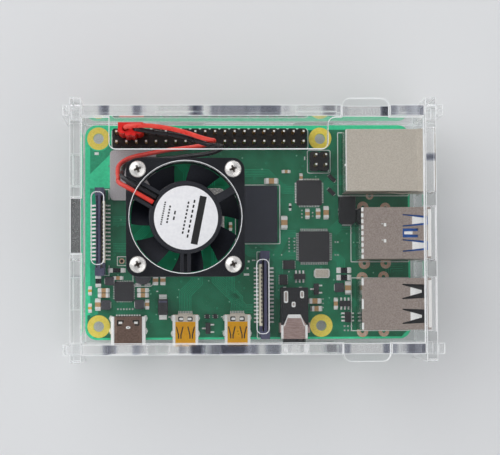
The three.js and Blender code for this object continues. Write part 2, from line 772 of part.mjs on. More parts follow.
// Each wire's route from the plug to the fan's motor base, in the part's own frame.
// The wires leave the plug upwards, run along the header, turn down through the lid's slot,
// pass back below the lid round the fan's corner and rise into the channel in the frame.
const redRoute = [
  [-32.29, 26.05, 24.65],
  [-32.2, 26.1, 25.7],
  [-31.3, 26.2, 26.8],
  [-29.6, 26.3, 27.15],
  [-26.6, 26.3, 27.05],
  [-23.6, 26.0, 26.95],
  [-20.0, 25.35, 26.95],
  [-16.2, 24.3, 26.95],
  [-13.2, 23.3, 26.8],
  [-10.9, 22.8, 25.9],
  [-9.9, 22.75, 24.2],
  [-10.5, 22.5, 22.6],
  [-12.2, 21.9, 21.6],
  [-15.0, 21.4, 21.0],
  [-18.1, 21.05, 20.4],
  [-21.0, 20.8, 19.5],
  [-24.0, 20.35, 18.4],
  [-27.0, 19.85, 17.4],
  [-30.0, 19.25, 16.9],
  [-32.4, 18.4, 16.9],
  [-34.1, 16.9, 17.5],
  [-34.4, 15.2, 18.8],
  [-34.2, 13.6, 20.6],
  [-34.2, 12.5, 22.4],
  [-33.6, 11.9, 23.6],
];
const blackRoute = [
  [-29.75, 25.65, 24.65],
  [-29.6, 25.6, 25.3],
  [-28.6, 25.4, 25.8],
  [-26.4, 25.0, 25.75],
  [-23.8, 24.6, 25.7],
  [-20.0, 24.1, 25.65],
  [-15.4, 23.0, 25.6],
  [-12.4, 21.9, 25.9],
  [-9.9, 21.35, 26.1],
  [-8.2, 21.25, 25.2],
  [-7.7, 21.1, 23.7],
  [-8.4, 20.6, 22.1],
  [-10.4, 19.9, 20.8],
  [-13.4, 19.5, 19.3],
  [-17.0, 19.25, 17.6],
  [-20.4, 18.9, 16.3],
  [-24.0, 18.7, 15.6],
  [-27.6, 18.65, 15.0],
  [-30.8, 18.1, 14.8],
  [-32.7, 16.9, 15.5],
  [-33.15, 15.5, 17.4],
  [-33.2, 14.9, 19.6],
  [-33.25, 14.4, 21.6],
  [-33.2, 13.7, 23.2],
];

// The wires' last points lie beside each other in the channel and end at the motor base
function channelPoint(radius, side) {
  const centre = onBoard(fanCentre);
  const angle = THREE.MathUtils.degToRad(strutAngles[1]);
  const along = new THREE.Vector2(Math.cos(angle), Math.sin(angle));
  const x = centre.x + radius * along.x - (side * wireSpacing * along.y) / 2;
  const y = centre.y + radius * along.y + (side * wireSpacing * along.x) / 2;
  return new THREE.Vector3(x, y, channelFloor + touchGap + wireDiameter / 2);
}

function wireTube(route, side) {
  const points = route.map(([x, y, z]) => new THREE.Vector3(x, y, z));
  const end = leadNotchRadius + touchGap + 0.15;
  const mouth = fanSize / 2 + 1.8;
  for (const share of [1, 0.6, 0.3, 0]) {
    points.push(channelPoint(end + share * (mouth - end), side));
  }
  const curve = new THREE.CatmullRomCurve3(points, false, 'centripetal');
  const section = new THREE.Shape();
  section.absarc(0, 0, wireDiameter / 2, 0, 2 * Math.PI, false);
  const steps = Math.round(curve.getLength() / (wireDiameter * 2));
  const settings = { steps, extrudePath: curve, curveSegments: 4, bevelEnabled: false };
  return geometryOf(solid(new THREE.ExtrudeGeometry(section, settings)));
}

// A crimp housing pushed over two header pins, with grip ribs on its front
function fanPlug() {
  const firstPin = onBoard(headerFirstPin);
  const x = firstPin.x + (plugFirstColumn + 0.5) * pinPitch;
  const rowY = firstPin.y + pinPitch;
  const low = boardTop + headerBase + touchGap;
  const high = low + plugHeight;
  const back = rowY + plugDepth * 0.45;
  const front = back - plugDepth;
  const tooth = 0.7;
  const outline = [[x - plugWidth / 2, back], [x - plugWidth / 2, front + 2 * tooth]];
  const ribs = 4;
  for (let i = 0; i < ribs; i += 1) {
    const from = x - plugWidth / 2 + (plugWidth * i) / ribs;
    const to = from + plugWidth / ribs;
    const reach = i === 0 || i === ribs - 1 ? tooth : 0;
    outline.push([from + (to - from) * 0.3, front + reach], [from + (to - from) * 0.7, front + reach]);
    if (i + 1 < ribs) {
      outline.push([to, front + tooth * 1.3]);
    }
  }
  outline.push([x + plugWidth / 2, front + 2 * tooth], [x + plugWidth / 2, back]);
  const cuts = [];
  for (const column of [0, 1]) {
    const pin = { x: firstPin.x + (plugFirstColumn + column) * pinPitch, y: rowY };
    cuts.push(blockAt(pin, pinWidth + 0.5, pinWidth + 0.5, low - overcut, boardTop + pinHeight + 0.6));
  }
  return cut(extruded(polygon(outline), low, high), cuts);
}

// Circuit board and pin headers

function headerPins(first, columns, rows) {
  const pins = [];
  for (let i = 0; i < columns; i += 1) {
    for (let j = 0; j < rows; j += 1) {
      pins.push({ x: boardLeft + first.x + i * pinPitch, y: boardFront + first.y + j * pinPitch });
    }
  }
  return pins;
}

function pinHeader(first, columns, rows) {
  const pins = headerPins(first, columns, rows);
  const notch = 0.35;
  const half = pinPitch / 2;
  const left = pins[0].x - half;
  const front = pins[0].y - half;
  const back = front + rows * pinPitch;
  const lower = [];
  const upper = [];
  for (let i = 0; i < columns; i += 1) {
    const from = left + i * pinPitch;
    lower.push([from, front + notch], [from + notch, front], [from + pinPitch - notch, front]);
    upper.push([from, back - notch], [from + notch, back], [from + pinPitch - notch, back]);
  }
  const right = left + columns * pinPitch;
  lower.push([right, front + notch]);
  upper.push([right, back - notch]);
  const base = extruded(polygon([...lower, ...upper.reverse()]), boardTop, boardTop + headerBase);
  const tip = 0.5;
  const radius = pinWidth / Math.SQRT2;
  const low = boardBottom - pinTail;
  const high = boardTop + pinHeight;
  const profile = [
    [0, low],
    [radius, low],
    [radius, high - tip],
    [radius * 0.5, high],
    [0, high],
  ];
  return joined([base, ...pins.map((place) => turned(profile, place, 4, Math.PI / 4))]);
}

// Small parts soldered on the board: centre, width, depth and height
const smallParts = [
  [5.4, 9.1, 2.4, 2.4, 1.2], [14.1, 9.2, 2.4, 2.4, 1.2], [66.2, 13.4, 2.4, 2.4, 1.2],
  [6.3, 15.3, 2.2, 2.2, 1.1], [53.1, 19.4, 3, 2.3, 0.8], [51.6, 15.5, 2, 2.7, 0.8],
  [55.9, 16.3, 3, 1.6, 0.9], [67.7, 9.2, 3, 1.6, 0.9], [68.4, 5.7, 1.7, 2.6, 0.9],
  [31.9, 2.9, 2.9, 1.5, 1], [60.2, 13, 2.9, 1.5, 1], [3.3, 9.2, 0.9, 1.7, 0.8],
  [16.1, 9.2, 0.9, 1.7, 0.8], [4.8, 12.9, 1.7, 0.9, 0.8], [4.8, 11.6, 1.7, 0.9, 0.8],
  [15, 12.9, 1.7, 0.9, 0.8], [15, 11.6, 1.7, 0.9, 0.8], [18.3, 15.5, 0.9, 1.7, 0.8],
  [20.2, 15.5, 0.9, 1.7, 0.8], [8.5, 16.1, 1.7, 0.9, 0.8], [51.9, 30.4, 0.9, 1.7, 0.8],
  [58, 32.7, 0.9, 1.7, 0.8], [60.8, 32.8, 0.9, 1.7, 0.8], [62.9, 33, 0.9, 1.7, 0.8],
  [59.8, 9.9, 1.7, 0.9, 0.8], [60.2, 7.9, 1.7, 0.9, 0.8], [68.5, 13.3, 0.9, 1.7, 0.8],
  [65.3, 9.2, 0.9, 1.7, 0.8], [3.4, 15.3, 1.2, 2, 0.9], [8.2, 18.1, 2, 1.2, 0.9],
  [67.5, 17.9, 1.7, 0.9, 0.5], [67.5, 16, 1.7, 0.9, 0.5], [31.7, 6, 1, 1.6, 0.5],
  [33.8, 6, 1, 1.6, 0.5], [1.2, 12.8, 0.9, 1.8, 0.7], [1.2, 8.3, 0.9, 1.8, 0.7],
];

function circuitBoard() {
  const outline = roundedOutline(
    boardLeft, boardLeft + boardLength,
    boardFront, boardFront + boardDepth, boardCorner,
  );
  const low = boardBottom - overcut;
  const high = boardTop + overcut;
  const cuts = [];
  const far = mountingHoleInset + mountingHolePitch;
  for (const x of [mountingHoleInset, far]) {
    for (const y of [mountingHoleInset, boardDepth - mountingHoleInset]) {
      cuts.push(cylinder(onBoard({ x, y }), mountingHole / 2, low, high, 16));
    }
  }
  for (const place of [...headerPins(headerFirstPin, headerColumns, 2), ...headerPins(poeFirstPin, 2, 2)]) {
    cuts.push(blockAt(place, headerHole, headerHole, low, high));
  }
  const sunk = boardThickness / 2;
  const lumps = smallParts.map(([x, y, width, depth, height]) => (
    blockAt(onBoard({ x, y }), width, depth, boardTop - sunk, boardTop + height)
  ));
  return joined([cut(extruded(outline, boardBottom, boardTop), cuts), ...lumps]);
}

// Sockets

function ethernetSocket() {
  const { x: front, y } = onBoard({ x: boardLength + ethernet.overhang, y: ethernet.y });
  const back = front - ethernet.length;
  const half = ethernet.width / 2;
  const top = boardTop + ethernet.height;
  const portHalf = 6;
  const portLow = boardTop + 3.2;
  const portHigh = portLow + 7;
  const keyHalf = 3.1;
  const keyLow = boardTop + 1.6;
  const depth = 13;
  const rim = 0.4;
  const s = shellSheet;
  const portWide = portHalf + rim;
  const keyWide = keyHalf + rim;
  const shell = cut(block(back, front, y - half, y + half, boardTop, top), [
    block(back + s, front - s, y - half + s, y + half - s, boardTop - overcut, top - s),
    block(front - 2 * s, front + overcut, y - portWide, y + portWide, portLow - rim, portHigh + rim),
    block(front - 2 * s, front + overcut, y - keyWide, y + keyWide, keyLow - rim, portLow + rim),
  ]);
  const gap = s + shellGap;
  const insert = cut(block(back + gap, front - gap, y - half + gap, y + half - gap, boardTop, top - gap), [
    block(front - depth, front + overcut, y - portHalf, y + portHalf, portLow, portHigh),
    block(front - depth + 3, front + overcut, y - keyHalf, y + keyHalf, keyLow, portLow + 0.1),
  ]);
  addPiece('ethernet_shell', shell, satinSteel);
  addPiece('ethernet_insert', insert, blackPlastic);
}

// The outline of a spring in a shell's roof, from the end it is held at to its tip
function springOutline(held, tip, y, heldWidth, tipWidth) {
  return polygon([
    [held, y - heldWidth / 2],
    [tip, y - tipWidth / 2],
    [tip, y + tipWidth / 2],
    [held, y + heldWidth / 2],
  ]);
}

// A stack of two sockets: folded steel shell round a moulding with two tongues.
// The roof has two springs held at the back, and may have a tongue held at the front between them.
function usbSocket(name, placeY, mouldingMaterial, springs, tongue) {
  const { x: front, y } = onBoard({ x: boardLength + usbStack.overhang, y: placeY });
  const back = front - usbStack.length;
  const half = usbStack.width / 2;
  const top = boardTop + usbHeight;
  const s = shellSheet;
  const gap = s + shellGap;
  const portHeight = 5.2;
  const portLows = [boardTop + 1.7, boardTop + 9.2];
  const dividerBack = back + 6.5;
  const rearFront = dividerBack - 0.1;
  const cuts = [
    block(back + s, dividerBack, y - half + s, y + half - s, boardTop - overcut, top - s),
    block(dividerBack - 0.1, front - 3 * s, y - half + s, y + half - s, boardTop - overcut, boardTop + 1.3),
  ];
  for (const low of portLows) {
    cuts.push(block(dividerBack - 0.1, front + overcut, y - half + s, y + half - s, low, low + portHeight));
  }
  const windows = [];
  const outlines = [];
  const { width, tipWidth } = springs;
  for (const side of [-1, 1]) {
    const middle = y + side * springs.offset;
    windows.push({ from: front - springs.back, to: front - springs.front, middle, width });
    outlines.push(springOutline(front - springs.back - s, front - springs.tip, middle, width, tipWidth));
  }
  if (tongue) {
    const held = front - tongue.front + s;
    windows.push({ from: front - tongue.back, to: front - tongue.front, middle: y, width: tongue.window });
    outlines.push(springOutline(held, front - tongue.tip, y, tongue.width, tongue.width));
  }
  for (const { from, to, middle, width: across } of windows) {
    cuts.push(block(from, to, middle - across / 2, middle + across / 2, top - 2 * s, top + overcut));
  }
  const box = cut(block(back, front, y - half, y + half, boardTop, top), cuts);
  const shell = joined([box, ...outlines.map((outline) => extruded(outline, top - s, top))]);
  const moulding = [block(back + gap, rearFront, y - half + gap, y + half - gap, boardTop, top - gap)];
  for (const low of portLows) {
    const tongueLow = low + 2.6;
    moulding.push(block(rearFront - 0.2, front - 1.2, y - 5.6, y + 5.6, tongueLow, tongueLow + 1.9));
  }
  addPiece(`${name}_shell`, shell, satinSteel);
  addPiece(`${name}_insert`, joined(moulding), mouldingMaterial);
}

// A tube-shaped shell that lies along Y, from an outline drawn across and up
function lyingTube(outer, hole, front, back) {
  const shape = outer;
  shape.holes.push(hole);
  const body = extruded(shape, 0, back - front);
  const basis = new THREE.Matrix4();
  basis.makeBasis(new THREE.Vector3(1, 0, 0), new THREE.Vector3(0, 0, 1), new THREE.Vector3(0, -1, 0));
  basis.setPosition(0, back, 0);
  return solid(geometryOf(body).applyMatrix4(basis));
}

function usbCSocket() {
  const centre = onBoard(usbC);
  const half = usbC.width / 2;
  const s = shellSheet;
  const low = boardTop;
  const high = boardTop + usbC.height;
  const front = centre.y;
  const back = front + usbC.length;
  const outer = roundedOutline(centre.x - half, centre.x + half, low, high, usbC.corner);
  const inner = roundedOutline(centre.x - half + s, centre.x + half - s, low + s, high - s, usbC.corner - s);
  addPiece('usb_c_shell', lyingTube(outer, inner, front, back), bronze);
  const gap = s + shellGap;
  const middle = (low + high) / 2;
  const core = roundedOutline(
    centre.x - half + gap, centre.x + half - gap,
    low + gap, high - gap, usbC.corner - gap,
  );
  const seat = front + usbC.portDepth;
  const backing = standFacingYBetween(core, seat, back);
  const wide = usbCTongue.width / 2;
  const thick = usbCTongue.thickness / 2;
  const tongue = block(
    centre.x - wide, centre.x + wide,
    front + usbCTongue.setBack, seat + 0.2, middle - thick, middle + thick,
  );
  addPiece('usb_c_tongue', backing.add(tongue), blackPlastic);
}

function standFacingYBetween(shape, front, back) {
  return standFacingY(extruded(shape, 0, back - front), back);
}

// The small video sockets have slanted lower corners
function hdmiOutline(centreX, inset) {
  const half = hdmi.width / 2 - inset;
  const low = boardTop + inset;
  const high = boardTop + hdmi.height - inset;
  const slant = 0.9 - inset * 0.4;
  return polygon([
    [centreX - half + slant, low],
    [centreX + half - slant, low],
    [centreX + half, low + slant],
    [centreX + half, high],
    [centreX - half, high],
    [centreX - half, low + slant],
  ]);
}

function hdmiSocket(index) {
  const centre = onBoard({ x: hdmiX[index], y: hdmi.y });
  const front = centre.y;
  const back = front + hdmi.length;
  const gap = shellSheet + shellGap;
  const shell = lyingTube(hdmiOutline(centre.x, 0), hdmiOutline(centre.x, shellSheet), front, back);
  addPiece(`hdmi_${index + 1}_shell`, shell, goldPlate);
  const seat = front + hdmi.portDepth;
  const backing = standFacingYBetween(hdmiOutline(centre.x, gap), seat, back);
  const middle = boardTop + hdmi.height / 2 + hdmiTongue.aboveMiddle;
  const wide = hdmiTongue.width / 2;
  const thick = hdmiTongue.thickness / 2;
  const tongue = block(
    centre.x - wide, centre.x + wide,
    front + hdmiTongue.setBack, seat + 0.2, middle - thick, middle + thick,
  );
  addPiece(`hdmi_${index + 1}_tongue`, backing.add(tongue), blackPlastic);
}

function audioJack() {
  const centre = onBoard(audio);
  const half = audio.width / 2;
  const front = centre.y;
  const back = front + audio.length;
  const top = boardTop + audio.height;
  const middle = boardTop + audio.height / 2;
  const barrelFront = front - audioNose;
  const lying = (radius, from, to) => {
    const geometry = new THREE.CylinderGeometry(radius, radius, to - from, 20);
    geometry.translate(centre.x, (from + to) / 2, middle);
    return solid(geometry);
  };
  const body = block(centre.x - half, centre.x + half, front, back, boardTop, top);
  const whole = body.add(lying(audio.barrel / 2, barrelFront, front + 0.5));
  const bored = cut(whole, [lying(audio.bore / 2, barrelFront - overcut, back - audio.endWall)]);
  addPiece('audio_jack_body', bored, blackPlastic);
  const coverTop = top + audioCover.sheet;
  const wide = half - audioCover.inset;
  const narrow = audioCover.tipWidth / 2;
  const outline = polygon([
    [centre.x - wide, front + audioCover.front],
    [centre.x + wide, front + audioCover.front],
    [centre.x + wide, front + audioCover.shoulder],
    [centre.x + narrow, front + audioCover.tip],
    [centre.x - narrow, front + audioCover.tip],
    [centre.x - wide, front + audioCover.shoulder],
  ]);
  const cover = [extruded(outline, top, coverTop)];
  const sideFront = front + audioCover.sideFront;
  for (const side of [-1, 1]) {
    const inner = centre.x + side * (half + audioCover.sideGap);
    const outer = inner + side * audioCover.sheet;
    const low = Math.min(inner, outer);
    const high = Math.max(inner, outer);
    cover.push(block(low, high, sideFront, front + audioCover.sideBack, boardTop, coverTop));
    const reach = half - audioCover.earOverlap;
    const ear = side > 0 ? [centre.x + reach, high] : [low, centre.x - reach];
    cover.push(block(ear[0], ear[1], sideFront, front + audioCover.earBack, top, coverTop));
  }
  addPiece('audio_jack_cover', joined(cover), satinSteel);
}

// A ribbon connector and its latch. The latch slides up to free the ribbon.
function ribbonConnector(name, place, turn) {
  const half = { x: ribbon.width / 2, y: ribbon.length / 2 };
  const top = boardTop + ribbon.height;
  const pocket = { left: -half.x + 0.5, right: half.x - 0.7, low: boardTop + 1.2, half: half.y - 1 };
  const cuts = [block(pocket.left, pocket.right, -pocket.half, pocket.half, pocket.low, top + overcut)];
  const teeth = [];
  const contactSpan = (ribbon.contacts - 1) * ribbon.contactPitch;
  const leadReach = 1.1;
  const combLow = boardTop + 1.6;
  for (let i = 0; i < ribbon.contacts; i += 1) {
    const y = -contactSpan / 2 + i * ribbon.contactPitch;
    teeth.push(block(-half.x - leadReach, -half.x + 0.2, y - 0.2, y + 0.2, boardTop, boardTop + 0.4));
    teeth.push(block(half.x - 0.2, half.x + leadReach, y - 0.2, y + 0.2, boardTop, boardTop + 0.4));
    cuts.push(block(half.x - 0.5, half.x + overcut, y - 0.25, y + 0.25, combLow, top + overcut));
  }
  const housing = block(-half.x, half.x, -half.y, half.y, boardTop, top);
  const seat = (body) => {
    const geometry = geometryOf(body);
    geometry.rotateZ(turn);
    geometry.translate(onBoard(place).x, onBoard(place).y, 0);
    return geometry;
  };
  addPiece(`${name}_connector`, seat(joined([cut(housing, cuts), ...teeth])), creamPlastic);
  const c = latchClearance;
  const barRight = pocket.right - 0.45;
  const cap = 0.8;
  const barHalf = pocket.half - c;
  const bar = block(pocket.left + c, barRight, -barHalf, barHalf, pocket.low + 0.6, top + cap);
  const wings = [];
  for (const side of [-1, 1]) {
    const y = side * (pocket.half + 0.4);
    wings.push(block(-half.x, half.x - 0.2, y - 1, y + 1, top + c, top + cap));
  }
  addPiece(`${name}_latch`, seat(joined([bar, ...wings])), chipBlack);
}

// Chips, cans and other soldered parts

function flatChip(name, chip, material) {
  const width = chip.width ?? chip.size;
  const depth = chip.depth ?? chip.size;
  const chamfer = 0.3;
  const body = roundedBlock(onBoard(chip), width, depth, chamfer, boardTop, boardTop + chip.height);
  addPiece(name, body, material);
}

function chips() {
  flatChip('soc_package', soc, boardGreen);
  const lidLow = boardTop + soc.height;
  const lid = roundedBlock(onBoard(soc), soc.lid, soc.lid, 1, lidLow, lidLow + soc.lidHeight);
  addPiece('soc_lid', lid, satinSteel);
  flatChip('ram_chip', ram, chipBlack);
  flatChip('usb_controller', usbChip, chipBlack);
  flatChip('ethernet_phy', phyChip, chipBlack);
  flatChip('power_chip', powerChip, chipBlack);
  flatChip('crystal', crystalCan, satinSteel);
  const canCentre = onBoard(wifi);
  const can = cut(roundedBlock(canCentre, wifi.width, wifi.depth, 1, boardTop, boardTop + wifi.height), [
    blockAt(
      canCentre, wifi.width - 2 * wifi.sheet, wifi.depth - 2 * wifi.sheet,
      boardTop - overcut, boardTop + wifi.height - wifi.sheet,
    ),
  ]);
  addPiece('wifi_shield', can, satinSteel);
}

function powerParts() {
  const coil = drumInductor.diameter / 2;
  const top = boardTop + drumInductor.height;
  const flange = 0.7;
  const groove = 0.5;
  const drumProfile = [
    [0, boardTop],
    [coil, boardTop],
    [coil, boardTop + flange],
    [coil - groove, boardTop + flange + 0.2],
    [coil - groove, top - flange - 0.2],
    [coil, top - flange],
    [coil, top - 0.2],
    [coil - 0.2, top],
    [0, top],
  ];
  addPiece('power_inductor', turned(drumProfile, onBoard(drumInductor), 20), chipBlack);
  const diodeCentre = onBoard(diode);
  const leadSpan = diode.depth + 2 * diode.leadDepth;
  const diodeBody = joined([
    blockAt(diodeCentre, diode.width, diode.depth, boardTop + 0.1, boardTop + diode.height),
    blockAt(diodeCentre, diode.width - 0.5, leadSpan, boardTop, boardTop + diode.leadHeight),
  ]);
  addPiece('input_diode', diodeBody, chipBlack);
  const c = onBoard(capacitor);
  const halfWidth = capacitor.width / 2;
  const halfDepth = capacitor.depth / 2;
  const moulding = extruded(polygon([
    [c.x - halfWidth + 0.6, c.y - halfDepth],
    [c.x + halfWidth - 0.6, c.y - halfDepth],
    [c.x + halfWidth, c.y - halfDepth + 0.6],
    [c.x + halfWidth, c.y + halfDepth],
    [c.x - halfWidth, c.y + halfDepth],
    [c.x - halfWidth, c.y - halfDepth + 0.6],
  ]), boardTop, boardTop + capacitor.height);
  addPiece('bulk_capacitor', moulding, chipBlack);
}

// The card socket is a pressed steel cover under the board, open at the board's left edge
function cardSocket() {
  const left = boardLeft + sdSocket.x;
  const centre = { x: left + sdSocket.width / 2, y: boardFront + sdSocket.y };
  const low = boardBottom - sdSocket.height;
  const body = blockAt(centre, sdSocket.width, sdSocket.depth, low, boardBottom);
  const mouth = block(
    left - overcut, left + sdSocket.width - 1.5,
    centre.y - 5.6, centre.y + 5.6, low + 0.35, boardBottom - 0.25,
  );
  addPiece('sd_card_socket', cut(body, [mouth]), satinSteel);
}

addPiece('case_top_plate', topPlate(), clearAcrylic);
addPiece('case_bottom_plate', bottomPlate(), clearAcrylic);
addPiece('case_front_wall', frontWall(), clearAcrylic);
addPiece('case_back_wall', backWall(), clearAcrylic);
addPiece('case_left_wall', leftWall(), clearAcrylic);
addPiece('case_right_wall', rightWall(), clearAcrylic);
addPiece('fan_frame', fanFrame(), fanBlack);
addPiece('fan_rotor', fanRotor(), fanBlack);
fanMotorPieces();
fanFasteners();
addPiece('fan_lead_red', wireTube(redRoute, 1), redWire);
addPiece('fan_lead_black', wireTube(blackRoute, -1), blackWire);
addPiece('fan_plug', fanPlug(), redPlastic);
addPiece('circuit_board', circuitBoard(), boardGreen);
addPiece('gpio_header', pinHeader(headerFirstPin, headerColumns, 2), blackPlastic);
addPiece('poe_header', pinHeader(poeFirstPin, 2, 2), blackPlastic);
ethernetSocket();
usbSocket('usb3', usb3Y, usbBlue, usb3Springs, usb3Tongue);
usbSocket('usb2', usb2Y, blackPlastic, usb2Springs, null);
usbCSocket();
hdmiSocket(0);
hdmiSocket(1);
audioJack();
ribbonConnector('display', displayPlace, 0);
ribbonConnector('camera', cameraPlace, Math.PI);
chips();
powerParts();
cardSocket();

export default part;
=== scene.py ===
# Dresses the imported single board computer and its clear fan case, sets the stage and the camera.
# All places and sizes in the makers below are in millimetres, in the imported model's own frame.
import math
import random

import bmesh
import bpy
from bpy.props import FloatProperty, FloatVectorProperty, IntProperty, PointerProperty
from mathutils import Matrix, Vector


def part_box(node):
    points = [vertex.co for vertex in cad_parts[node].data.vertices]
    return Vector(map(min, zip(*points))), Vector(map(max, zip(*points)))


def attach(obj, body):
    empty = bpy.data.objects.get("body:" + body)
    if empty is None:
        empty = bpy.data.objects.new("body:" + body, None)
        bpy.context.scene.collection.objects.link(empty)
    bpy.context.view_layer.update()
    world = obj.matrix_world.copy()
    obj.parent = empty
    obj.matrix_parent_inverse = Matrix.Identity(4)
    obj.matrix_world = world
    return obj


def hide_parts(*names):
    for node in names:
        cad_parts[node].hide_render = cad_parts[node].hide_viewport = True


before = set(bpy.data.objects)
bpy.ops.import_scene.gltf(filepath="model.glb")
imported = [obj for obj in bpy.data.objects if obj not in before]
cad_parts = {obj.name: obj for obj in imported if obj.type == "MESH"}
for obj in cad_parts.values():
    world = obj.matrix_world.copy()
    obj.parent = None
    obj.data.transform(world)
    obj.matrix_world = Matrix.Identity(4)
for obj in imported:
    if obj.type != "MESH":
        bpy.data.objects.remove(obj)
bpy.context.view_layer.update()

bl_info = {
    "name": "Cased Single Board Computer",
    "version": (1, 0, 0),
    "blender": (4, 5, 0),
    "location": "View3D > Sidebar > Board",
    "description": "Dresses a packed single board computer in a clear fan case",
    "category": "Add Mesh",
}

MM = 0.001
MAIN = "case_and_board"


def box_mm(node):
    low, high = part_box(node)
    return low / MM, high / MM


BOARD_LOW, BOARD_HIGH = box_mm("circuit_board")
LEFT, FRONT = BOARD_LOW.x, BOARD_LOW.y
UNDER = BOARD_LOW.z
TOP = box_mm("ethernet_shell")[0].z
FAN_LOW, FAN_HIGH = box_mm("fan_frame")
FAN_X = (FAN_LOW.x + FAN_HIGH.x) / 2
FAN_Y = (FAN_LOW.y + FAN_HIGH.y) / 2
LID_TOP = box_mm("case_top_plate")[1].z
PIN_PITCH = 2.54
HEADER_PINS = [(8.37 + i * PIN_PITCH, 51.23 + j * PIN_PITCH) for i in range(20) for j in range(2)]
POWER_PINS = [(59.83 + i * PIN_PITCH, 45.13 + j * PIN_PITCH) for i in range(2) for j in range(2)]
MOUNTING_HOLES = [(3.5, 3.5), (61.5, 3.5), (3.5, 52.5), (61.5, 52.5)]


# Colours and nodes

def linear(hex_colour):
    """An sRGB hex colour as linear red, green, blue and alpha."""
    channels = [int(hex_colour[i:i + 2], 16) / 255 for i in (1, 3, 5)]
    return (*[c / 12.92 if c <= 0.04045 else ((c + 0.055) / 1.055) ** 2.4 for c in channels], 1.0)


def add_node(tree, kind, inputs=None, stops=(), **settings):
    """A node with its settings, its values or links, and the stops of a colour ramp."""
    node = tree.nodes.new("ShaderNode" + kind)
    for name, value in settings.items():
        setattr(node, name, value)
    for socket, value in (inputs or {}).items():
        if isinstance(value, bpy.types.NodeSocket):
            tree.links.new(value, node.inputs[socket])
        else:
            node.inputs[socket].default_value = value
    for index, (place, colour) in enumerate(stops):
        elements = node.color_ramp.elements
        element = elements[index] if index < len(elements) else elements.new(place)
        element.position = place
        element.color = linear(colour)
    return node


def blank_material(name):
    material = bpy.data.materials.new(name)
    material.use_nodes = True
    tree = material.node_tree
    tree.nodes.clear()
    return material, tree, add_node(tree, "OutputMaterial")


def grained(name, colour, shade, grain, roughness, swing, relief, metal, stretch=(1, 1, 1), ior=1.5, more={}):
    """A finish whose colour, gloss and relief vary over a grain in millimetres."""
    material, tree, output = blank_material(name)
    place = add_node(tree, "TexCoord").outputs["Object"]
    place = add_node(tree, "Mapping", {"Vector": place, "Scale": stretch}).outputs[0]
    noise = add_node(tree, "TexNoise", {"Vector": place, "Scale": 1 / (grain * MM), "Detail": 3.0}).outputs[0]
    colours = add_node(tree, "ValToRGB", {0: noise}, [(0.36, colour), (0.64, shade)]).outputs[0]
    gloss = add_node(tree, "MapRange", {
        "Value": noise, "From Min": 0.3, "From Max": 0.7,
        "To Min": roughness - swing, "To Max": roughness + swing,
    }).outputs[0]
    bump = add_node(tree, "Bump", {"Height": noise, "Distance": relief * MM}).outputs[0]
    surface = add_node(tree, "BsdfPrincipled", {
        "Base Color": colours, "Roughness": gloss, "Normal": bump,
        **({"Metallic": metal} if metal else {"IOR": ior}), **more,
    })
    tree.links.new(surface.outputs[0], output.inputs[0])
    return material


# The cutting beam leaves lines through the sheet about 0.3 mm apart, drawn twice as wide as real to show
KERF_LINES = 0.6
# How long the painted bright and dark blocks of light along a cut edge are
PAINTED_LIGHT_BLOCKS = 9.0


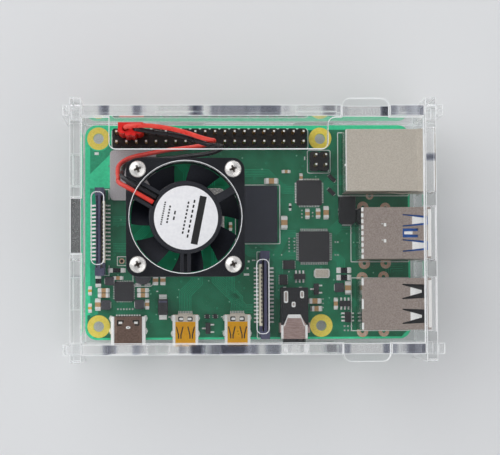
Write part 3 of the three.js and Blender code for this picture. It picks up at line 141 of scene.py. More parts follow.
def cast_acrylic(name, across, haze, reach, stops):
    """Clear sheet with polished faces. Its cut edges are frosted by the share given. Up to the reach its upper
    cut edges carry painted light and shade in bright and dark blocks; past it, where two walls cross, they are
    evenly bright."""
    material, tree, output = blank_material(name)
    look = bpy.context.scene.board_case
    solid = add_node(tree, "NewGeometry").outputs
    normal = solid["True Normal"]
    facing = add_node(tree, "VectorMath", {0: normal, 1: across}, operation="DOT_PRODUCT").outputs["Value"]
    facing = add_node(tree, "Math", {0: facing}, operation="ABSOLUTE").outputs[0]
    edge = add_node(tree, "Math", {0: facing, 1: 0.5}, operation="LESS_THAN").outputs[0]
    place = add_node(tree, "TexCoord").outputs["Object"]
    lines = add_node(tree, "Mapping", {"Vector": place, "Scale": [0.04 if part else 1.0 for part in across]})
    kerf = add_node(tree, "TexNoise", {"Vector": lines.outputs[0], "Scale": 1 / (KERF_LINES * MM),
                                       "Detail": 2.0})
    bump = add_node(tree, "Bump", {"Strength": edge, "Height": kerf.outputs[0], "Distance": 0.02 * haze * MM})
    # A cut edge pipes the light of the whole sheet; its bright and dark blocks, where slots break it, are painted
    # into the edge's colour as painted light and shade
    length = [0.02 if part else 1.0 for part in across[:2]] + [0.0 if across[2] else 0.1]
    length = add_node(tree, "Mapping", {"Vector": place, "Scale": length}).outputs[0]
    light = add_node(tree, "TexNoise", {"Vector": length, "Scale": 1 / (PAINTED_LIGHT_BLOCKS * MM), "Detail": 2.0})
    light = add_node(tree, "ValToRGB", {0: light.outputs[0]}, zip(stops, ("#7d7f8d", "#b9bcc8", "#ffffff")))
    # Only the upper cut edges get the painted blocks, since the others are seen against the light floor
    upward = add_node(tree, "SeparateXYZ", {0: normal}).outputs["Z"]
    upward = add_node(tree, "Math", {0: upward, 1: 0.5}, operation="GREATER_THAN").outputs[0]
    upward = add_node(tree, "Math", {0: upward, 1: edge}, operation="MULTIPLY").outputs[0]
    along = (across[1], across[0], 0)
    along = add_node(tree, "VectorMath", {0: solid["Position"], 1: along}, operation="DOT_PRODUCT")
    along = add_node(tree, "Math", {0: along.outputs["Value"]}, operation="ABSOLUTE").outputs[0]
    inside = add_node(tree, "Math", {0: along, 1: reach * MM}, operation="LESS_THAN").outputs[0]
    upward = add_node(tree, "Math", {0: upward, 1: inside}, operation="MULTIPLY").outputs[0]
    tint = add_node(tree, "Mix", {0: upward, 6: (*look.tint, 1.0), 7: light.outputs[0]}, data_type="RGBA")
    gloss = add_node(tree, "MapRange", {"Value": edge, "To Min": 0.01, "To Max": look.edge_roughness * haze})
    body = add_node(tree, "MapRange", {"Value": edge, "To Min": 1.0, "To Max": 1 - look.edge_frost * haze})
    clear = add_node(tree, "BsdfPrincipled", {
        "Base Color": tint.outputs[2], "IOR": 1.49, "Roughness": gloss.outputs[0],
        "Transmission Weight": body.outputs[0], "Normal": bump.outputs[0],
    })
    # Shadows and bounced light pass through the sheet as through a film
    path = add_node(tree, "LightPath").outputs
    passing = add_node(tree, "Math", {0: path["Is Shadow Ray"], 1: path["Is Diffuse Ray"]},
                       operation="MAXIMUM")
    film = add_node(tree, "BsdfTransparent", {"Color": linear("#fdfdfd")})
    mixed = add_node(tree, "MixShader", {0: passing.outputs[0], 1: clear.outputs[0], 2: film.outputs[0]})
    tree.links.new(mixed.outputs[0], output.inputs[0])
    return material


# Each entry is a material in its finish, some with painted light or shade in their colour: its colour and how
# that shades, its grain in millimetres, its roughness and how far that swings, its relief in millimetres and its
# share of metal.
FINISHES = {
    # Glass-filled PBT, moulded in a spark-eroded tool: near black with a fine dull speckle
    "moulded_pbt_black": ("#191b22", "#21232b", 0.35, 0.42, 0.08, 0.006, 0.0),
    # The rotor's PBT is unfilled and dull: the blades stay near black, with a faint blue cast
    "moulded_pbt_rotor": ("#191c26", "#1f222d", 0.6, 0.46, 0.05, 0.003, 0.0),
    # Coated label paper: flat white with a barely mottled face
    "coated_label_paper": ("#f4f4f6", "#ededf0", 0.8, 0.45, 0.05, 0.002, 0.0),
    # Printing ink on the label: black with slightly less gloss than the paper
    "label_ink": ("#0d0d10", "#151518", 0.4, 0.55, 0.05, 0.0, 0.0),
    # Nickel-plated steel, barrel finished: bright and slightly warm with soft tumbling marks
    "nickel_plated_steel": ("#f3f1ee", "#dcd8d3", 0.5, 0.26, 0.07, 0.004, 0.6),
    # Recess of a screw: dull brown-grey, painted shade for the dark of the recess
    "recess_painted_shade": ("#4a4038", "#6b6058", 0.3, 0.5, 0.05, 0.004, 0.4),
    # Tin-plated steel sheet, rolled: warm satin grey with a fine sandy speckle
    "tinned_steel_sheet": ("#b9aba3", "#a0928a", 0.28, 0.38, 0.08, 0.005, 0.65),
    # Radio shield: nickel silver sheet, drawn and matt, a cool light grey
    "nickel_silver_can": ("#cdc9cc", "#bdb9bc", 0.3, 0.45, 0.06, 0.004, 0.35),
    # Backs of the sockets: bright tin, tinted green as a painted reflection of the board
    "tin_plate_painted_board_reflection": ("#a9b3ab", "#9fa9a1", 0.8, 0.12, 0.05, 0.001, 1.0),
    # Network shell: nickel-plated brass sheet, paler and more matt than the steel ones
    "nickelled_brass_sheet": ("#d9d0c3", "#cbc1b3", 0.4, 0.42, 0.06, 0.004, 0.6),
    # Tin plate on small leads and rims: nearly white and only a little metallic, a painted highlight standing for
    # the mirror-like shine of its bends
    "tin_plate_painted_bright": ("#fbfbf9", "#eeedea", 0.3, 0.24, 0.06, 0.003, 0.12),
    # Stainless steel strip, stamped and tarnished a little brown by the reflow oven
    "heat_tinted_steel": ("#8d7366", "#735c50", 0.5, 0.32, 0.06, 0.004, 0.7),
    # Flash-gold plate over nickel: saturated yellow, glossy at the pin tips
    "flash_gold_plate": ("#f0c060", "#e3b04c", 0.3, 0.26, 0.05, 0.002, 1.0),
    # Amber-looking gold plate on the small video sockets' lids
    "amber_gold_plate": ("#f6b414", "#eda60d", 2.0, 0.32, 0.05, 0.0, 0.45),
    # Bare pad metal round the mounting holes: pale yellow and dull from handling
    "pad_metal_pale": ("#fae66a", "#efd955", 0.5, 0.4, 0.08, 0.003, 0.15),
    # Fired solder pads of the shells' tabs: copper brown under flux
    "fluxed_copper": ("#f0d9c6", "#cda283", 0.6, 0.26, 0.08, 0.004, 0.25),
    # Lead-free solder, reflowed: bright grey with a crystalline mottle
    "reflowed_solder": ("#f0efee", "#c4c4c3", 0.22, 0.28, 0.1, 0.01, 0.5),
    # Solder mask over copper: deep glossy green, darker where the copper lies under it
    "solder_mask_on_copper": ("#11704c", "#167d58", 3.0, 0.34, 0.05, 0.004, 0.0),
    # Solder mask straight on the laminate: brighter green, as light comes back out of the glass cloth
    "solder_mask_on_laminate": ("#34d498", "#3ee0a6", 0.7, 0.36, 0.05, 0.006, 0.0),
    # Traces under the mask: a little lighter than the copper field round them
    "solder_mask_on_trace": ("#1f9a6f", "#27a87c", 0.5, 0.32, 0.04, 0.002, 0.0),
    # Screen-printed epoxy ink: opaque white with slightly soft edges
    "legend_ink_white": ("#f2f5f2", "#e2e8e3", 0.25, 0.5, 0.05, 0.0, 0.0),
    # Painted shade of drilled holes, port depths and slots: nearly black, standing for the unlit laminate and
    # plastic inside
    "hole_depth_painted_shade": ("#141612", "#1d201a", 0.3, 0.7, 0.05, 0.0, 0.0),
    # Epoxy moulding compound of chips: charcoal with a fine matt grain
    "epoxy_compound": ("#262528", "#302f32", 0.2, 0.48, 0.08, 0.006, 0.0),
    # The memory chip's compound is bluer and smoother
    "epoxy_compound_blue": ("#222530", "#2a2d39", 0.3, 0.4, 0.05, 0.003, 0.0),
    # Liquid crystal polymer, natural: cream, faintly streaked by the flow in the mould
    "lcp_cream": ("#f8f2e1", "#eee6d0", 0.9, 0.45, 0.05, 0.003, 0.0),
    # Liquid crystal polymer, black: header bases and socket cores with a satin face
    "lcp_black": ("#131315", "#1c1c1f", 0.4, 0.4, 0.07, 0.004, 0.0),
    # Latch bars of the ribbon connectors: dark slate polymer
    "lcp_slate": ("#474760", "#55556e", 0.8, 0.38, 0.05, 0.003, 0.0),
    # Blue socket core: saturated blue nylon
    "nylon_blue": ("#2467c8", "#3277d8", 0.6, 0.4, 0.05, 0.003, 0.0),
    # Red crimp housing: bright nylon 66 with a slight sheen
    "nylon_red": ("#e5120f", "#f0261f", 0.5, 0.35, 0.06, 0.004, 0.0),
    # PVC wire insulation, extruded: smooth and waxy with a long even highlight
    "pvc_insulation_red": ("#e2352b", "#ea4a3c", 2.0, 0.3, 0.05, 0.002, 0.0),
    "pvc_insulation_black": ("#141316", "#1d1c20", 2.0, 0.3, 0.05, 0.002, 0.0),
    # Fired ceramic of the multilayer capacitors: tan and slightly granular
    "capacitor_ceramic": ("#c9a478", "#b68c5c", 0.2, 0.42, 0.05, 0.004, 0.0),
    # Resistor glaze: black glass over white alumina
    "resistor_glaze": ("#1c1b1f", "#29282c", 0.3, 0.25, 0.05, 0.0, 0.0),
    # Pressed ferrite: charcoal grey, sintered and dusty
    "sintered_ferrite": ("#37373c", "#45454b", 0.25, 0.55, 0.08, 0.01, 0.0),
    # Crystal can: brushed kovar with a faint pink warmth
    "brushed_kovar": ("#c3aaa4", "#ab918b", 0.3, 0.32, 0.05, 0.003, 0.6),
    # Enamelled copper wire of the motor's coils
    "enamelled_copper": ("#b35f2c", "#9c4d20", 0.2, 0.3, 0.05, 0.01, 1.0),
    # Sintered bronze bearing: brown and finely porous
    "sintered_bronze": ("#a1764a", "#8c6238", 0.15, 0.45, 0.1, 0.008, 1.0),
    # Bonded ferrite magnet: dull dark grey
    "bonded_magnet": ("#3b3b3f", "#47474c", 0.2, 0.6, 0.05, 0.006, 0.0),
    # Ground steel shaft: bright with fine rings round it
    "ground_steel": ("#cfcfd0", "#bfbfc1", 0.3, 0.2, 0.05, 0.002, 1.0),
    # Arris of the cut sheet: a fine white line, partly the frost the beam leaves where it enters and partly a
    # painted highlight
    "arris_frost_and_painted_highlight": ("#ffffff", "#f1f4f6", 0.6, 0.4, 0.05, 0.003, 0.0),
    # Light pipes of the network jack: clear tinted polycarbonate
    "light_pipe_green": ("#8fce7a", "#a3da90", 1.0, 0.2, 0.05, 0.0, 0.0),
    "light_pipe_amber": ("#e0b24c", "#eac067", 1.0, 0.2, 0.05, 0.0, 0.0),
}
# What else sets a finish apart: grain drawn out along an axis, or the index of refraction
FINISH_EXTRAS = {
    "moulded_pbt_rotor": dict(more={"Specular IOR Level": 0.2}),
    "lcp_cream": dict(stretch=(1, 0.15, 1)),
    "lcp_slate": dict(stretch=(1, 0.2, 1)),
    "nylon_red": dict(ior=1.53, more={"Subsurface Weight": 0.05, "Subsurface Scale": 0.0008}),
    "pvc_insulation_red": dict(ior=1.53),
    "pvc_insulation_black": dict(ior=1.53),
    "brushed_kovar": dict(stretch=(0.2, 1, 1)),
    "enamelled_copper": dict(stretch=(1, 1, 4)),
    "ground_steel": dict(stretch=(1, 1, 6)),
    "light_pipe_green": dict(ior=1.58),
    "light_pipe_amber": dict(ior=1.58),
}
# Cast sheets by the way they face, with the stops of their painted light blocks
ACRYLIC_SHEETS = {
    "cast_acrylic_lying": dict(across=(0, 0, 1), haze=1, reach=50, stops=(0.44, 0.47, 0.5)),
    "cast_acrylic_facing_front": dict(across=(0, 1, 0), haze=1, reach=43, stops=(0.44, 0.47, 0.5)),
    "cast_acrylic_facing_side": dict(across=(1, 0, 0), haze=0.25, reach=28.5, stops=(0.34, 0.36, 0.38)),
}


def finish(name):
    """The material of that name, made the first time it is asked for."""
    if name in bpy.data.materials and "board_finish" in bpy.data.materials[name]:
        return bpy.data.materials[name]
    if name in ACRYLIC_SHEETS:
        made = cast_acrylic(name, **ACRYLIC_SHEETS[name])
    else:
        made = grained(name, *FINISHES[name], **FINISH_EXTRAS.get(name, {}))
    made["board_finish"] = True
    return made


# Mesh making

# Signs of the four corners of a rectangle, in order round it
CORNERS = ((-1, -1), (1, -1), (1, 1), (-1, 1))


def on_board(x, y):
    """A place given from the board's corner."""
    return LEFT + x, FRONT + y


def placed(x, y, degrees=0.0):
    """Puts a form at a place, turned about the upright axis."""
    return Matrix.Translation((x, y, 0)) @ Matrix.Rotation(math.radians(degrees), 4, "Z")


def moved(verts, matrix):
    for vert in verts:
        vert.co = matrix @ vert.co


def paint(verts, index):
    for face in {face for vert in verts for face in vert.link_faces}:
        face.material_index = index


def block(bm, low, high, index=0):
    """A box between two corners."""
    verts = [bm.verts.new((x, y, z))
             for z in (low[2], high[2]) for y in (low[1], high[1]) for x in (low[0], high[0])]
    for corners in ((0, 2, 3, 1), (4, 5, 7, 6), (0, 1, 5, 4), (1, 3, 7, 5), (3, 2, 6, 7), (2, 0, 4, 6)):
        bm.faces.new([verts[i] for i in corners])
    paint(verts, index)
    return verts


def slab(bm, x, y, half_x, half_y, low, high, index=0):
    """A box round an upright line."""
    return block(bm, (x - half_x, y - half_y, low), (x + half_x, y + half_y, high), index)


def standing(bm, place, size, low, high, index=0):
    """A box on the board round a place given from the board's corner."""
    return slab(bm, *on_board(*place), size[0] / 2, size[1] / 2, low, high, index)


def box_tool(low, high):
    """A box to cut with."""
    tool = bmesh.new()
    block(tool, low, high)
    return tool


def skin(bm, rings, closed=False):
    """Joins each ring of points to the next by four-sided faces, and the last to the first if closed."""
    pairs = list(zip(rings, rings[1:] + rings[:1]))
    around = range(len(rings[0]))
    return [[bm.faces.new((one[i], one[(i + 1) % len(one)], two[(i + 1) % len(one)], two[i])) for i in around]
            for one, two in (pairs if closed else pairs[:-1])]


def rounded(x0, x1, y0, y1, radius, steps=5):
    """The outline of a rectangle with round corners."""
    points = []
    for x, y, start in ((x1 - radius, y0 + radius, -90), (x1 - radius, y1 - radius, 0),
                        (x0 + radius, y1 - radius, 90), (x0 + radius, y0 + radius, 180)):
        for i in range(steps + 1):
            angle = math.radians(start + 90 * i / steps)
            points.append((x + radius * math.cos(angle), y + radius * math.sin(angle)))
    return points


def circle(x, y, radius, steps):
    angles = [2 * math.pi * i / steps for i in range(steps)]
    return [(x + radius * math.cos(angle), y + radius * math.sin(angle)) for angle in angles]


def prism(bm, outline, low, high, index=0, holes=()):
    """An upright body from an outline, with any holes through it."""
    levels = [[[bm.verts.new((x, y, z)) for x, y in loop] for loop in (outline, *holes)] for z in (low, high)]
    for walls in zip(*levels):
        skin(bm, walls)
    for level in levels:
        if holes:
            edges = [bm.edges.get((loop[i - 1], loop[i])) for loop in level for i in range(len(loop))]
            bmesh.ops.triangle_fill(bm, use_beauty=True, edges=edges)
        else:
            bm.faces.new(level[0])
    verts = [vert for level in levels for loop in level for vert in loop]
    paint(verts, index)
    return verts


def turned(bm, profile, steps=32, index=0, place=Matrix()):
    """A body turned about the upright axis from radius and height pairs, then placed by a matrix."""
    rings = []
    for radius, height in profile:
        count = 1 if radius < 1e-6 else steps
        rings.append([bm.verts.new(place @ Vector((x, y, height))) for x,
                      y in circle(0, 0, radius, steps)[:count]])
    for one, two in zip(rings, rings[1:] if len(rings[0]) == 1 else rings[1:] + rings[:1]):
        for i in range(steps):
            j = (i + 1) % steps
            corners = (one[i % len(one)], one[j % len(one)], two[j % len(two)], two[i % len(two)])
            corners = list(dict.fromkeys(corners))
            if len(corners) > 2:
                bm.faces.new(corners)
    verts = [vert for ring in rings for vert in ring]
    paint(verts, index)
    return verts


def strip(bm, path, across, width, thickness, index=0):
    """A flat strip of metal bent along a path. The direction across it stays the same."""
    across = Vector(across).normalized()
    points = [Vector(point) for point in path]
    rings = []
    for i, point in enumerate(points):
        ahead = points[min(i + 1, len(points) - 1)] - points[max(i - 1, 0)]
        up = ahead.cross(across).normalized() * thickness / 2
        side = across * width / 2
        rings.append([bm.verts.new(point + a * side + b * up) for a, b in CORNERS])
    skin(bm, rings)
    bm.faces.new(rings[0])
    bm.faces.new(rings[-1])
    verts = [vert for ring in rings for vert in ring]
    paint(verts, index)
    return verts


def loose_object(bm, name="cutter"):
    mesh = bpy.data.meshes.new(name)
    bmesh.ops.recalc_face_normals(bm, faces=bm.faces)
    bm.to_mesh(mesh)
    bm.free()
    made = bpy.data.objects.new(name, mesh)
    bpy.context.scene.collection.objects.link(made)
    return made


def carved(bm, *tools):
    """The body less each of the tools, by exact booleans."""
    body = loose_object(bm, "blank")
    cutters = [loose_object(tool) for tool in tools]
    for cutter in cutters:
        body.modifiers.new("cut", "BOOLEAN").object = cutter
    bpy.context.view_layer.update()
    result = bmesh.new()
    result.from_mesh(body.evaluated_get(bpy.context.evaluated_depsgraph_get()).to_mesh())
    for made in (body, *cutters):
        mesh = made.data
        bpy.data.objects.remove(made)
        bpy.data.meshes.remove(mesh)
    return result


def add_mesh(bm, other):
    """Adds the whole of another mesh to this one."""
    mesh = bpy.data.meshes.new("added")
    other.to_mesh(mesh)
    other.free()
    bm.from_mesh(mesh)
    bpy.data.meshes.remove(mesh)


def piece(name, bm, finishes, body=MAIN, stands_for=(), edge=0.0, crease=38):
    """A finished piece of the object, in metres, that rides on a body."""
    bmesh.ops.recalc_face_normals(bm, faces=bm.faces)
    for vert in bm.verts:
        vert.co *= MM
    for face in bm.faces:
        face.smooth = True
    for line in bm.edges:
        line.smooth = len(line.link_faces) == 2 and line.calc_face_angle(0) < math.radians(crease)
    mesh = bpy.data.meshes.new(name)
    bm.to_mesh(mesh)
    bm.free()
    for each in finishes:
        mesh.materials.append(finish(each))
    made = bpy.data.objects.new(name, mesh)
    bpy.context.scene.collection.objects.link(made)
    if edge:
        soften(made, edge)
    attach(made, body)
    if stands_for:
        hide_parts(*stands_for)
    return made


def soften(made, width, weld=False):
    """A small round along sharp edges, as moulding, pressing and cutting leave."""
    if weld:
        made.modifiers.new("weld", "WELD").merge_threshold = 0.002 * MM
    bevel = made.modifiers.new("edge", "BEVEL")
    bevel.width = width * MM
    bevel.segments = 2
    bevel.limit_method = "ANGLE"
    bevel.angle_limit = math.radians(35)
    bevel.harden_normals = True


def dress(node, name, edge=0.0):
    """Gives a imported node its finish, and a small round along its edges."""
    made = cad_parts[node]
    for material_slot in made.material_slots:
        material_slot.material = finish(name)
    if edge:
        soften(made, edge, weld=True)
    return made


# Sizes and colours that a user would change

class BoardStage(bpy.types.PropertyGroup):
    key_power: FloatProperty(name="Key lamp", description="Power of the lamp behind on the left", default=5.4,
                             unit="POWER")
    fill_power: FloatProperty(name="Fill lamp", description="Power of the lamp in front on the right",
                              default=3.1,
                              unit="POWER")
    lamp_size: FloatProperty(name="Lamp size", description="Side of each soft lamp", default=1.1,
                             unit="LENGTH")
    floor_colour: FloatVectorProperty(name="Floor", description="Colour of the plain floor",
                                      subtype="COLOR", size=3,
                                      default=linear("#e4e5e6")[:3])


class BoardCase(bpy.types.PropertyGroup):
    tint: FloatVectorProperty(name="Tint", description="Colour of the clear sheet", subtype="COLOR", size=3,
                              default=linear("#fdfefe")[:3])
    edge_roughness: FloatProperty(name="Edge roughness", description="Roughness of the cut edges",
                                  default=0.12,
                                  min=0.0, max=1.0)
    edge_frost: FloatProperty(name="Edge frost", description="Share of light that the cut edges scatter",
                              default=0.16, min=0.0, max=1.0)
    # The edge line is a white frosted line that also carries a painted highlight
    edge_line: FloatProperty(name="Edge line",
                             description="Width of the frosted line at the edges, in millimetres",
                             default=0.13)


class BoardFan(bpy.types.PropertyGroup):
    blade_count: IntProperty(name="Blades", description="Number of blades on the rotor", default=7, min=3,
                             max=13)
    blade_thickness: FloatProperty(name="Blade thickness", description="Thickness of a blade in millimetres",
                                   default=0.7)
    label_tilt: FloatProperty(name="Label tilt", description="Turn of the round label", subtype="ANGLE",
                              default=math.radians(-11.3))


class BoardWires(bpy.types.PropertyGroup):
    diameter: FloatProperty(name="Wire diameter", description="Outer diameter of a fan wire", default=0.0012,
                            unit="LENGTH", precision=4)


class BoardCircuit(bpy.types.PropertyGroup):
    via_count: IntProperty(name="Vias", description="Number of small vias on the top face", default=230)
    trace_width: FloatProperty(name="Trace width", description="Width of a trace in millimetres",
                               default=0.17)
    mask_height: FloatProperty(name="Mask relief", description="Height of the masked copper in millimetres",
                               default=0.03)


# The camera, the light and the floor

def area_lamp(name, place, power, size):
    data = bpy.data.lights.new(name, "AREA")
    data.energy = power
    data.size = size
    lamp = bpy.data.objects.new(name, data)
    lamp.location = place
    lamp.rotation_euler = (-Vector(place)).to_track_quat("-Z", "Y").to_euler()
    bpy.context.scene.collection.objects.link(lamp)


class BOARD_OT_stage(bpy.types.Operator):
    """Sets the camera, the soft lamps, the pale backdrop and the floor"""
    bl_idname = "board.stage"
    bl_label = "Stage"

    def execute(self, context):
        look = context.scene.board_stage
        context.scene.view_settings.view_transform = "Standard"
        data = bpy.data.cameras.new("photo_camera")
        data.sensor_width = 36
        data.lens = 135.951
        data.clip_start, data.clip_end = 0.01, 20
        camera = bpy.data.objects.new("photo_camera", data)
        camera.location = (-0.020501, -0.020266, 0.501916)
        camera.rotation_euler = (0.04395011, -0.04091068, -0.0047115)
        context.scene.collection.objects.link(camera)
        context.scene.camera = camera
        area_lamp("key_lamp", (-0.48, 0.42, 0.5), look.key_power, look.lamp_size)
        area_lamp("fill_lamp", (0.5, -0.4, 0.5), look.fill_power, look.lamp_size)
        # The room is pale round the horizon and darker overhead, so clear and bright metal faces keep their depth
        world = bpy.data.worlds.new("pale_room")
        world.use_nodes = True
        tree = world.node_tree
        tree.nodes.clear()
        up = add_node(tree, "TexCoord").outputs["Generated"]
        up = add_node(tree, "SeparateXYZ", {0: up}).outputs["Z"]
        room = add_node(tree, "ValToRGB", {0: up}, [(0.0, "#e9eaeb"), (0.35, "#e0e1e3"), (0.85, "#77787c")])
        light = add_node(tree, "Background", {"Color": room.outputs[0]})
        add_node(tree, "OutputWorld", {"Surface": light.outputs[0]})
        context.scene.world = world
        bm = bmesh.new()
        bmesh.ops.create_grid(bm, x_segments=8, y_segments=8, size=4)
        mesh = bpy.data.meshes.new("floor")
        bm.to_mesh(mesh)
        bm.free()
        # Matt laminate table top: plain and pale, with a faint cloudiness
        material, tree, output = blank_material("matt_laminate")
        cloud = add_node(tree, "TexNoise", {"Scale": 6.0, "Detail": 1.0}).outputs[0]
        gloss = add_node(tree, "MapRange", {"Value": cloud, "To Min": 0.6, "To Max": 0.7}).outputs[0]
        top = add_node(tree, "BsdfPrincipled",
                       {"Base Color": (*look.floor_colour, 1), "Roughness": gloss, "IOR": 1.4})
        tree.links.new(top.outputs[0], output.inputs[0])
        mesh.materials.append(material)
        floor = bpy.data.objects.new("floor", mesh)
        context.scene.collection.objects.link(floor)
        return {"FINISHED"}


# The fan's lead

# Points that each wire passes, from the plug to the mouth of the fan's channel
RED_ROUTE = (
    (-32.29, 26.05, 24.65), (-32.2, 26.1, 25.7), (-31.3, 26.2, 26.8), (-29.6, 26.3, 27.15),
    (-26.6, 26.3, 27.05),
    (-23.6, 26.0, 26.95), (-20.0, 25.35, 26.95), (-16.2, 24.3, 26.95), (-13.2, 23.3, 26.8),
    (-10.9, 22.8, 25.9),
    (-9.9, 22.75, 24.2), (-10.5, 22.5, 22.6), (-12.2, 21.9, 21.6), (-15.0, 21.4, 21.0), (-18.1, 21.05, 20.4),
    (-21.0, 20.8, 19.5), (-24.0, 20.35, 18.4), (-27.0, 19.85, 17.4), (-30.0, 19.25, 16.9),
    (-32.4, 18.4, 16.9),
    (-34.1, 16.9, 17.5), (-34.4, 15.2, 18.8), (-34.2, 13.6, 20.6), (-34.2, 12.5, 22.4), (-33.6, 11.9, 23.6),
)
BLACK_ROUTE = (
    (-29.75, 25.65, 24.65), (-29.6, 25.6, 25.3), (-28.6, 25.4, 25.8), (-26.4, 25.0, 25.75),
    (-23.8, 24.6, 25.7),
    (-20.0, 24.1, 25.65), (-15.4, 23.0, 25.6), (-12.4, 21.9, 25.9), (-9.9, 21.35, 26.1), (-8.2, 21.25, 25.2),
    (-7.7, 21.1, 23.7), (-8.4, 20.6, 22.1), (-10.4, 19.9, 20.8), (-13.4, 19.5, 19.3), (-17.0, 19.25, 17.6),
    (-20.4, 18.9, 16.3), (-24.0, 18.7, 15.6), (-27.6, 18.65, 15.0), (-30.8, 18.1, 14.8), (-32.7, 16.9, 15.5),
    (-33.15, 15.5, 17.4), (-33.2, 14.9, 19.6), (-33.25, 14.4, 21.6), (-33.2, 13.7, 23.2),
)
CHANNEL_RADII = (16.8, 13.66, 11.305, 8.95)
CHANNEL_ANGLE = math.radians(150)
CHANNEL_HEIGHT = 24.0
WIRE_SPACING = 1.5


def channel_point(radius, side):
    """A point of a wire where it lies in the fan frame's channel."""
    along = Vector((math.cos(CHANNEL_ANGLE), math.sin(CHANNEL_ANGLE)))
    offset = side * WIRE_SPACING / 2
    return FAN_X + radius * along.x - offset * along.y, FAN_Y + radius * along.y + offset * along.x, CHANNEL_HEIGHT


def wire(name, route, side, finish_name):
    """An insulated wire from the motor base to the plug."""
    points = [*route, *[channel_point(radius, side) for radius in CHANNEL_RADII]][::-1]
    diameter = bpy.context.scene.board_wires.diameter
    curve = bpy.data.curves.new(name, "CURVE")
    curve.dimensions = "3D"
    curve.bevel_depth = diameter / 2
    curve.bevel_resolution = 4
    curve.resolution_u = 8
    curve.use_fill_caps = True
    spline = curve.splines.new("BEZIER")
    spline.bezier_points.add(len(points) - 1)
    for knot, point in zip(spline.bezier_points, points):
        knot.co = Vector(point) * MM
        knot.handle_left_type = knot.handle_right_type = "AUTO"
    curve.materials.append(finish(finish_name))
    made = bpy.data.objects.new(name, curve)
    bpy.context.scene.collection.objects.link(made)
    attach(made, MAIN)
    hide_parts("fan_lead_red" if side > 0 else "fan_lead_black")


class BOARD_OT_fan_lead(bpy.types.Operator):
    """Makes the fan's two wires and the crimp housing on the header"""
    bl_idname = "board.fan_lead"
    bl_label = "Fan lead"

    def execute(self, context):
        low, high = box_mm("fan_plug")
        middle = (low.x + high.x) / 2
        width = high.x - low.x
        # The polarising ribs of the housing make a row of four rounded teeth in front
        tooth = 0.35
        outline = [(low.x, high.y), (low.x, low.y + 3.4 * tooth)]
        for i in range(4):
            start = low.x + width * (0.06 + 0.22 * i)
            reach = 1.6 * tooth if i in (0, 3) else 0
            outline += [(start + width * share, low.y + reach + rise * tooth)
                        for share, rise in ((0.02, 0.75), (0.06, 0.2), (0.11, 0), (0.16, 0.2), (0.2, 0.75))]
        outline += [(high.x, low.y + 3.4 * tooth), (high.x, high.y)]
        bm = bmesh.new()
        prism(bm, outline, low.z, high.z)
        tools = []
        for side in (-1, 1):
            x = middle + side * PIN_PITCH / 2
            y = FRONT + HEADER_PINS[1][1]
            tool = bmesh.new()
            # The wire enters from above, the pin from below, and a latch window opens at the back
            turned(tool, [(0, high.z - 3), (0.85, high.z - 3), (0.85, high.z + 1), (0, high.z + 1)], 16,
                   place=Matrix.Translation((x, y, 0)))
            tools.append(tool)
            tool = bmesh.new()
            block(tool, (x - 0.6, y - 0.6, low.z - 1), (x + 0.6, y + 0.6, high.z - 4))
            tools.append(tool)
            tool = bmesh.new()
            block(tool, (x - 0.75, high.y - 0.5, low.z + 4), (x + 0.75, high.y + 1, low.z + 6.5))
            tools.append(tool)
        plug = piece("fan_plug_housing", carved(bm, *tools), ["nylon_red"],
                     stands_for=["fan_plug"], edge=0.12)
        wire("fan_wire_red", RED_ROUTE, 1, "pvc_insulation_red")
        wire("fan_wire_black", BLACK_ROUTE, -1, "pvc_insulation_black")
        return {"FINISHED"}


# The case

class BOARD_OT_case(bpy.types.Operator):
    """Gives the six laser-cut plates their clear sheet"""
    bl_idname = "board.case"
    bl_label = "Clear case"

    def execute(self, context):
        for plate, name in (("top_plate", "cast_acrylic_lying"), ("bottom_plate", "cast_acrylic_lying"),
                            ("front_wall", "cast_acrylic_facing_front"),
                            ("back_wall", "cast_acrylic_facing_front"),
                            ("left_wall", "cast_acrylic_facing_side"),
                            ("right_wall", "cast_acrylic_facing_side")):
            sheet = dress(f"case_{plate}", name)
            self.line_edges(plate, sheet, context.scene.board_case.edge_line)
        return {"FINISHED"}

    def line_edges(self, plate, sheet, width):
        """Makes the fine white line along each edge of a sheet: the frost of the cutting beam and a painted
        highlight.
        """
        proud = 0.012
        source = bmesh.new()
        source.from_mesh(sheet.data)
        bmesh.ops.remove_doubles(source, verts=source.verts, dist=0.002 * MM)
        bm = bmesh.new()
        for line in source.edges:
            if len(line.link_faces) != 2 or line.calc_face_angle(0) < math.radians(35):
                continue
            one, two = (face.normal for face in line.link_faces)
            inward = -(one + two) * width
            rings = []
            for end in line.verts:
                corner = end.co / MM
                rings.append([bm.verts.new(corner + shift) for shift in (
                    (one + two) * proud, one * proud - two * width, inward, two * proud - one * width)])
            for i in range(4):
                bm.faces.new((rings[0][i], rings[0][i - 1], rings[1][i - 1], rings[1][i]))
            for ring in rings:
                bm.faces.new(ring)
        source.free()
        piece(f"{plate}_edge_lines", bm, ["arris_frost_and_painted_highlight"])


# The fan

def fan_turn(degrees=0.0):
    return Matrix.Translation((FAN_X, FAN_Y, 0)) @ Matrix.Rotation(math.radians(degrees), 4, "Z")


def spoke(bm, degrees, inner, outer, offset, width, low, high):
    """A straight bar that runs outwards from the fan's axis."""
    verts = block(bm, (inner, offset - width / 2, low), (outer, offset + width / 2, high))
    moved(verts, fan_turn(degrees))
    return verts


# Where the first blade rests, how far its tip lags its root and how wide it is, in degrees
FIRST_BLADE, BLADE_SWEEP, BLADE_SPREAD = 22.8, -7.5, 34.0
BLADE_ROOT, BLADE_TIP = 7.75, 13.85


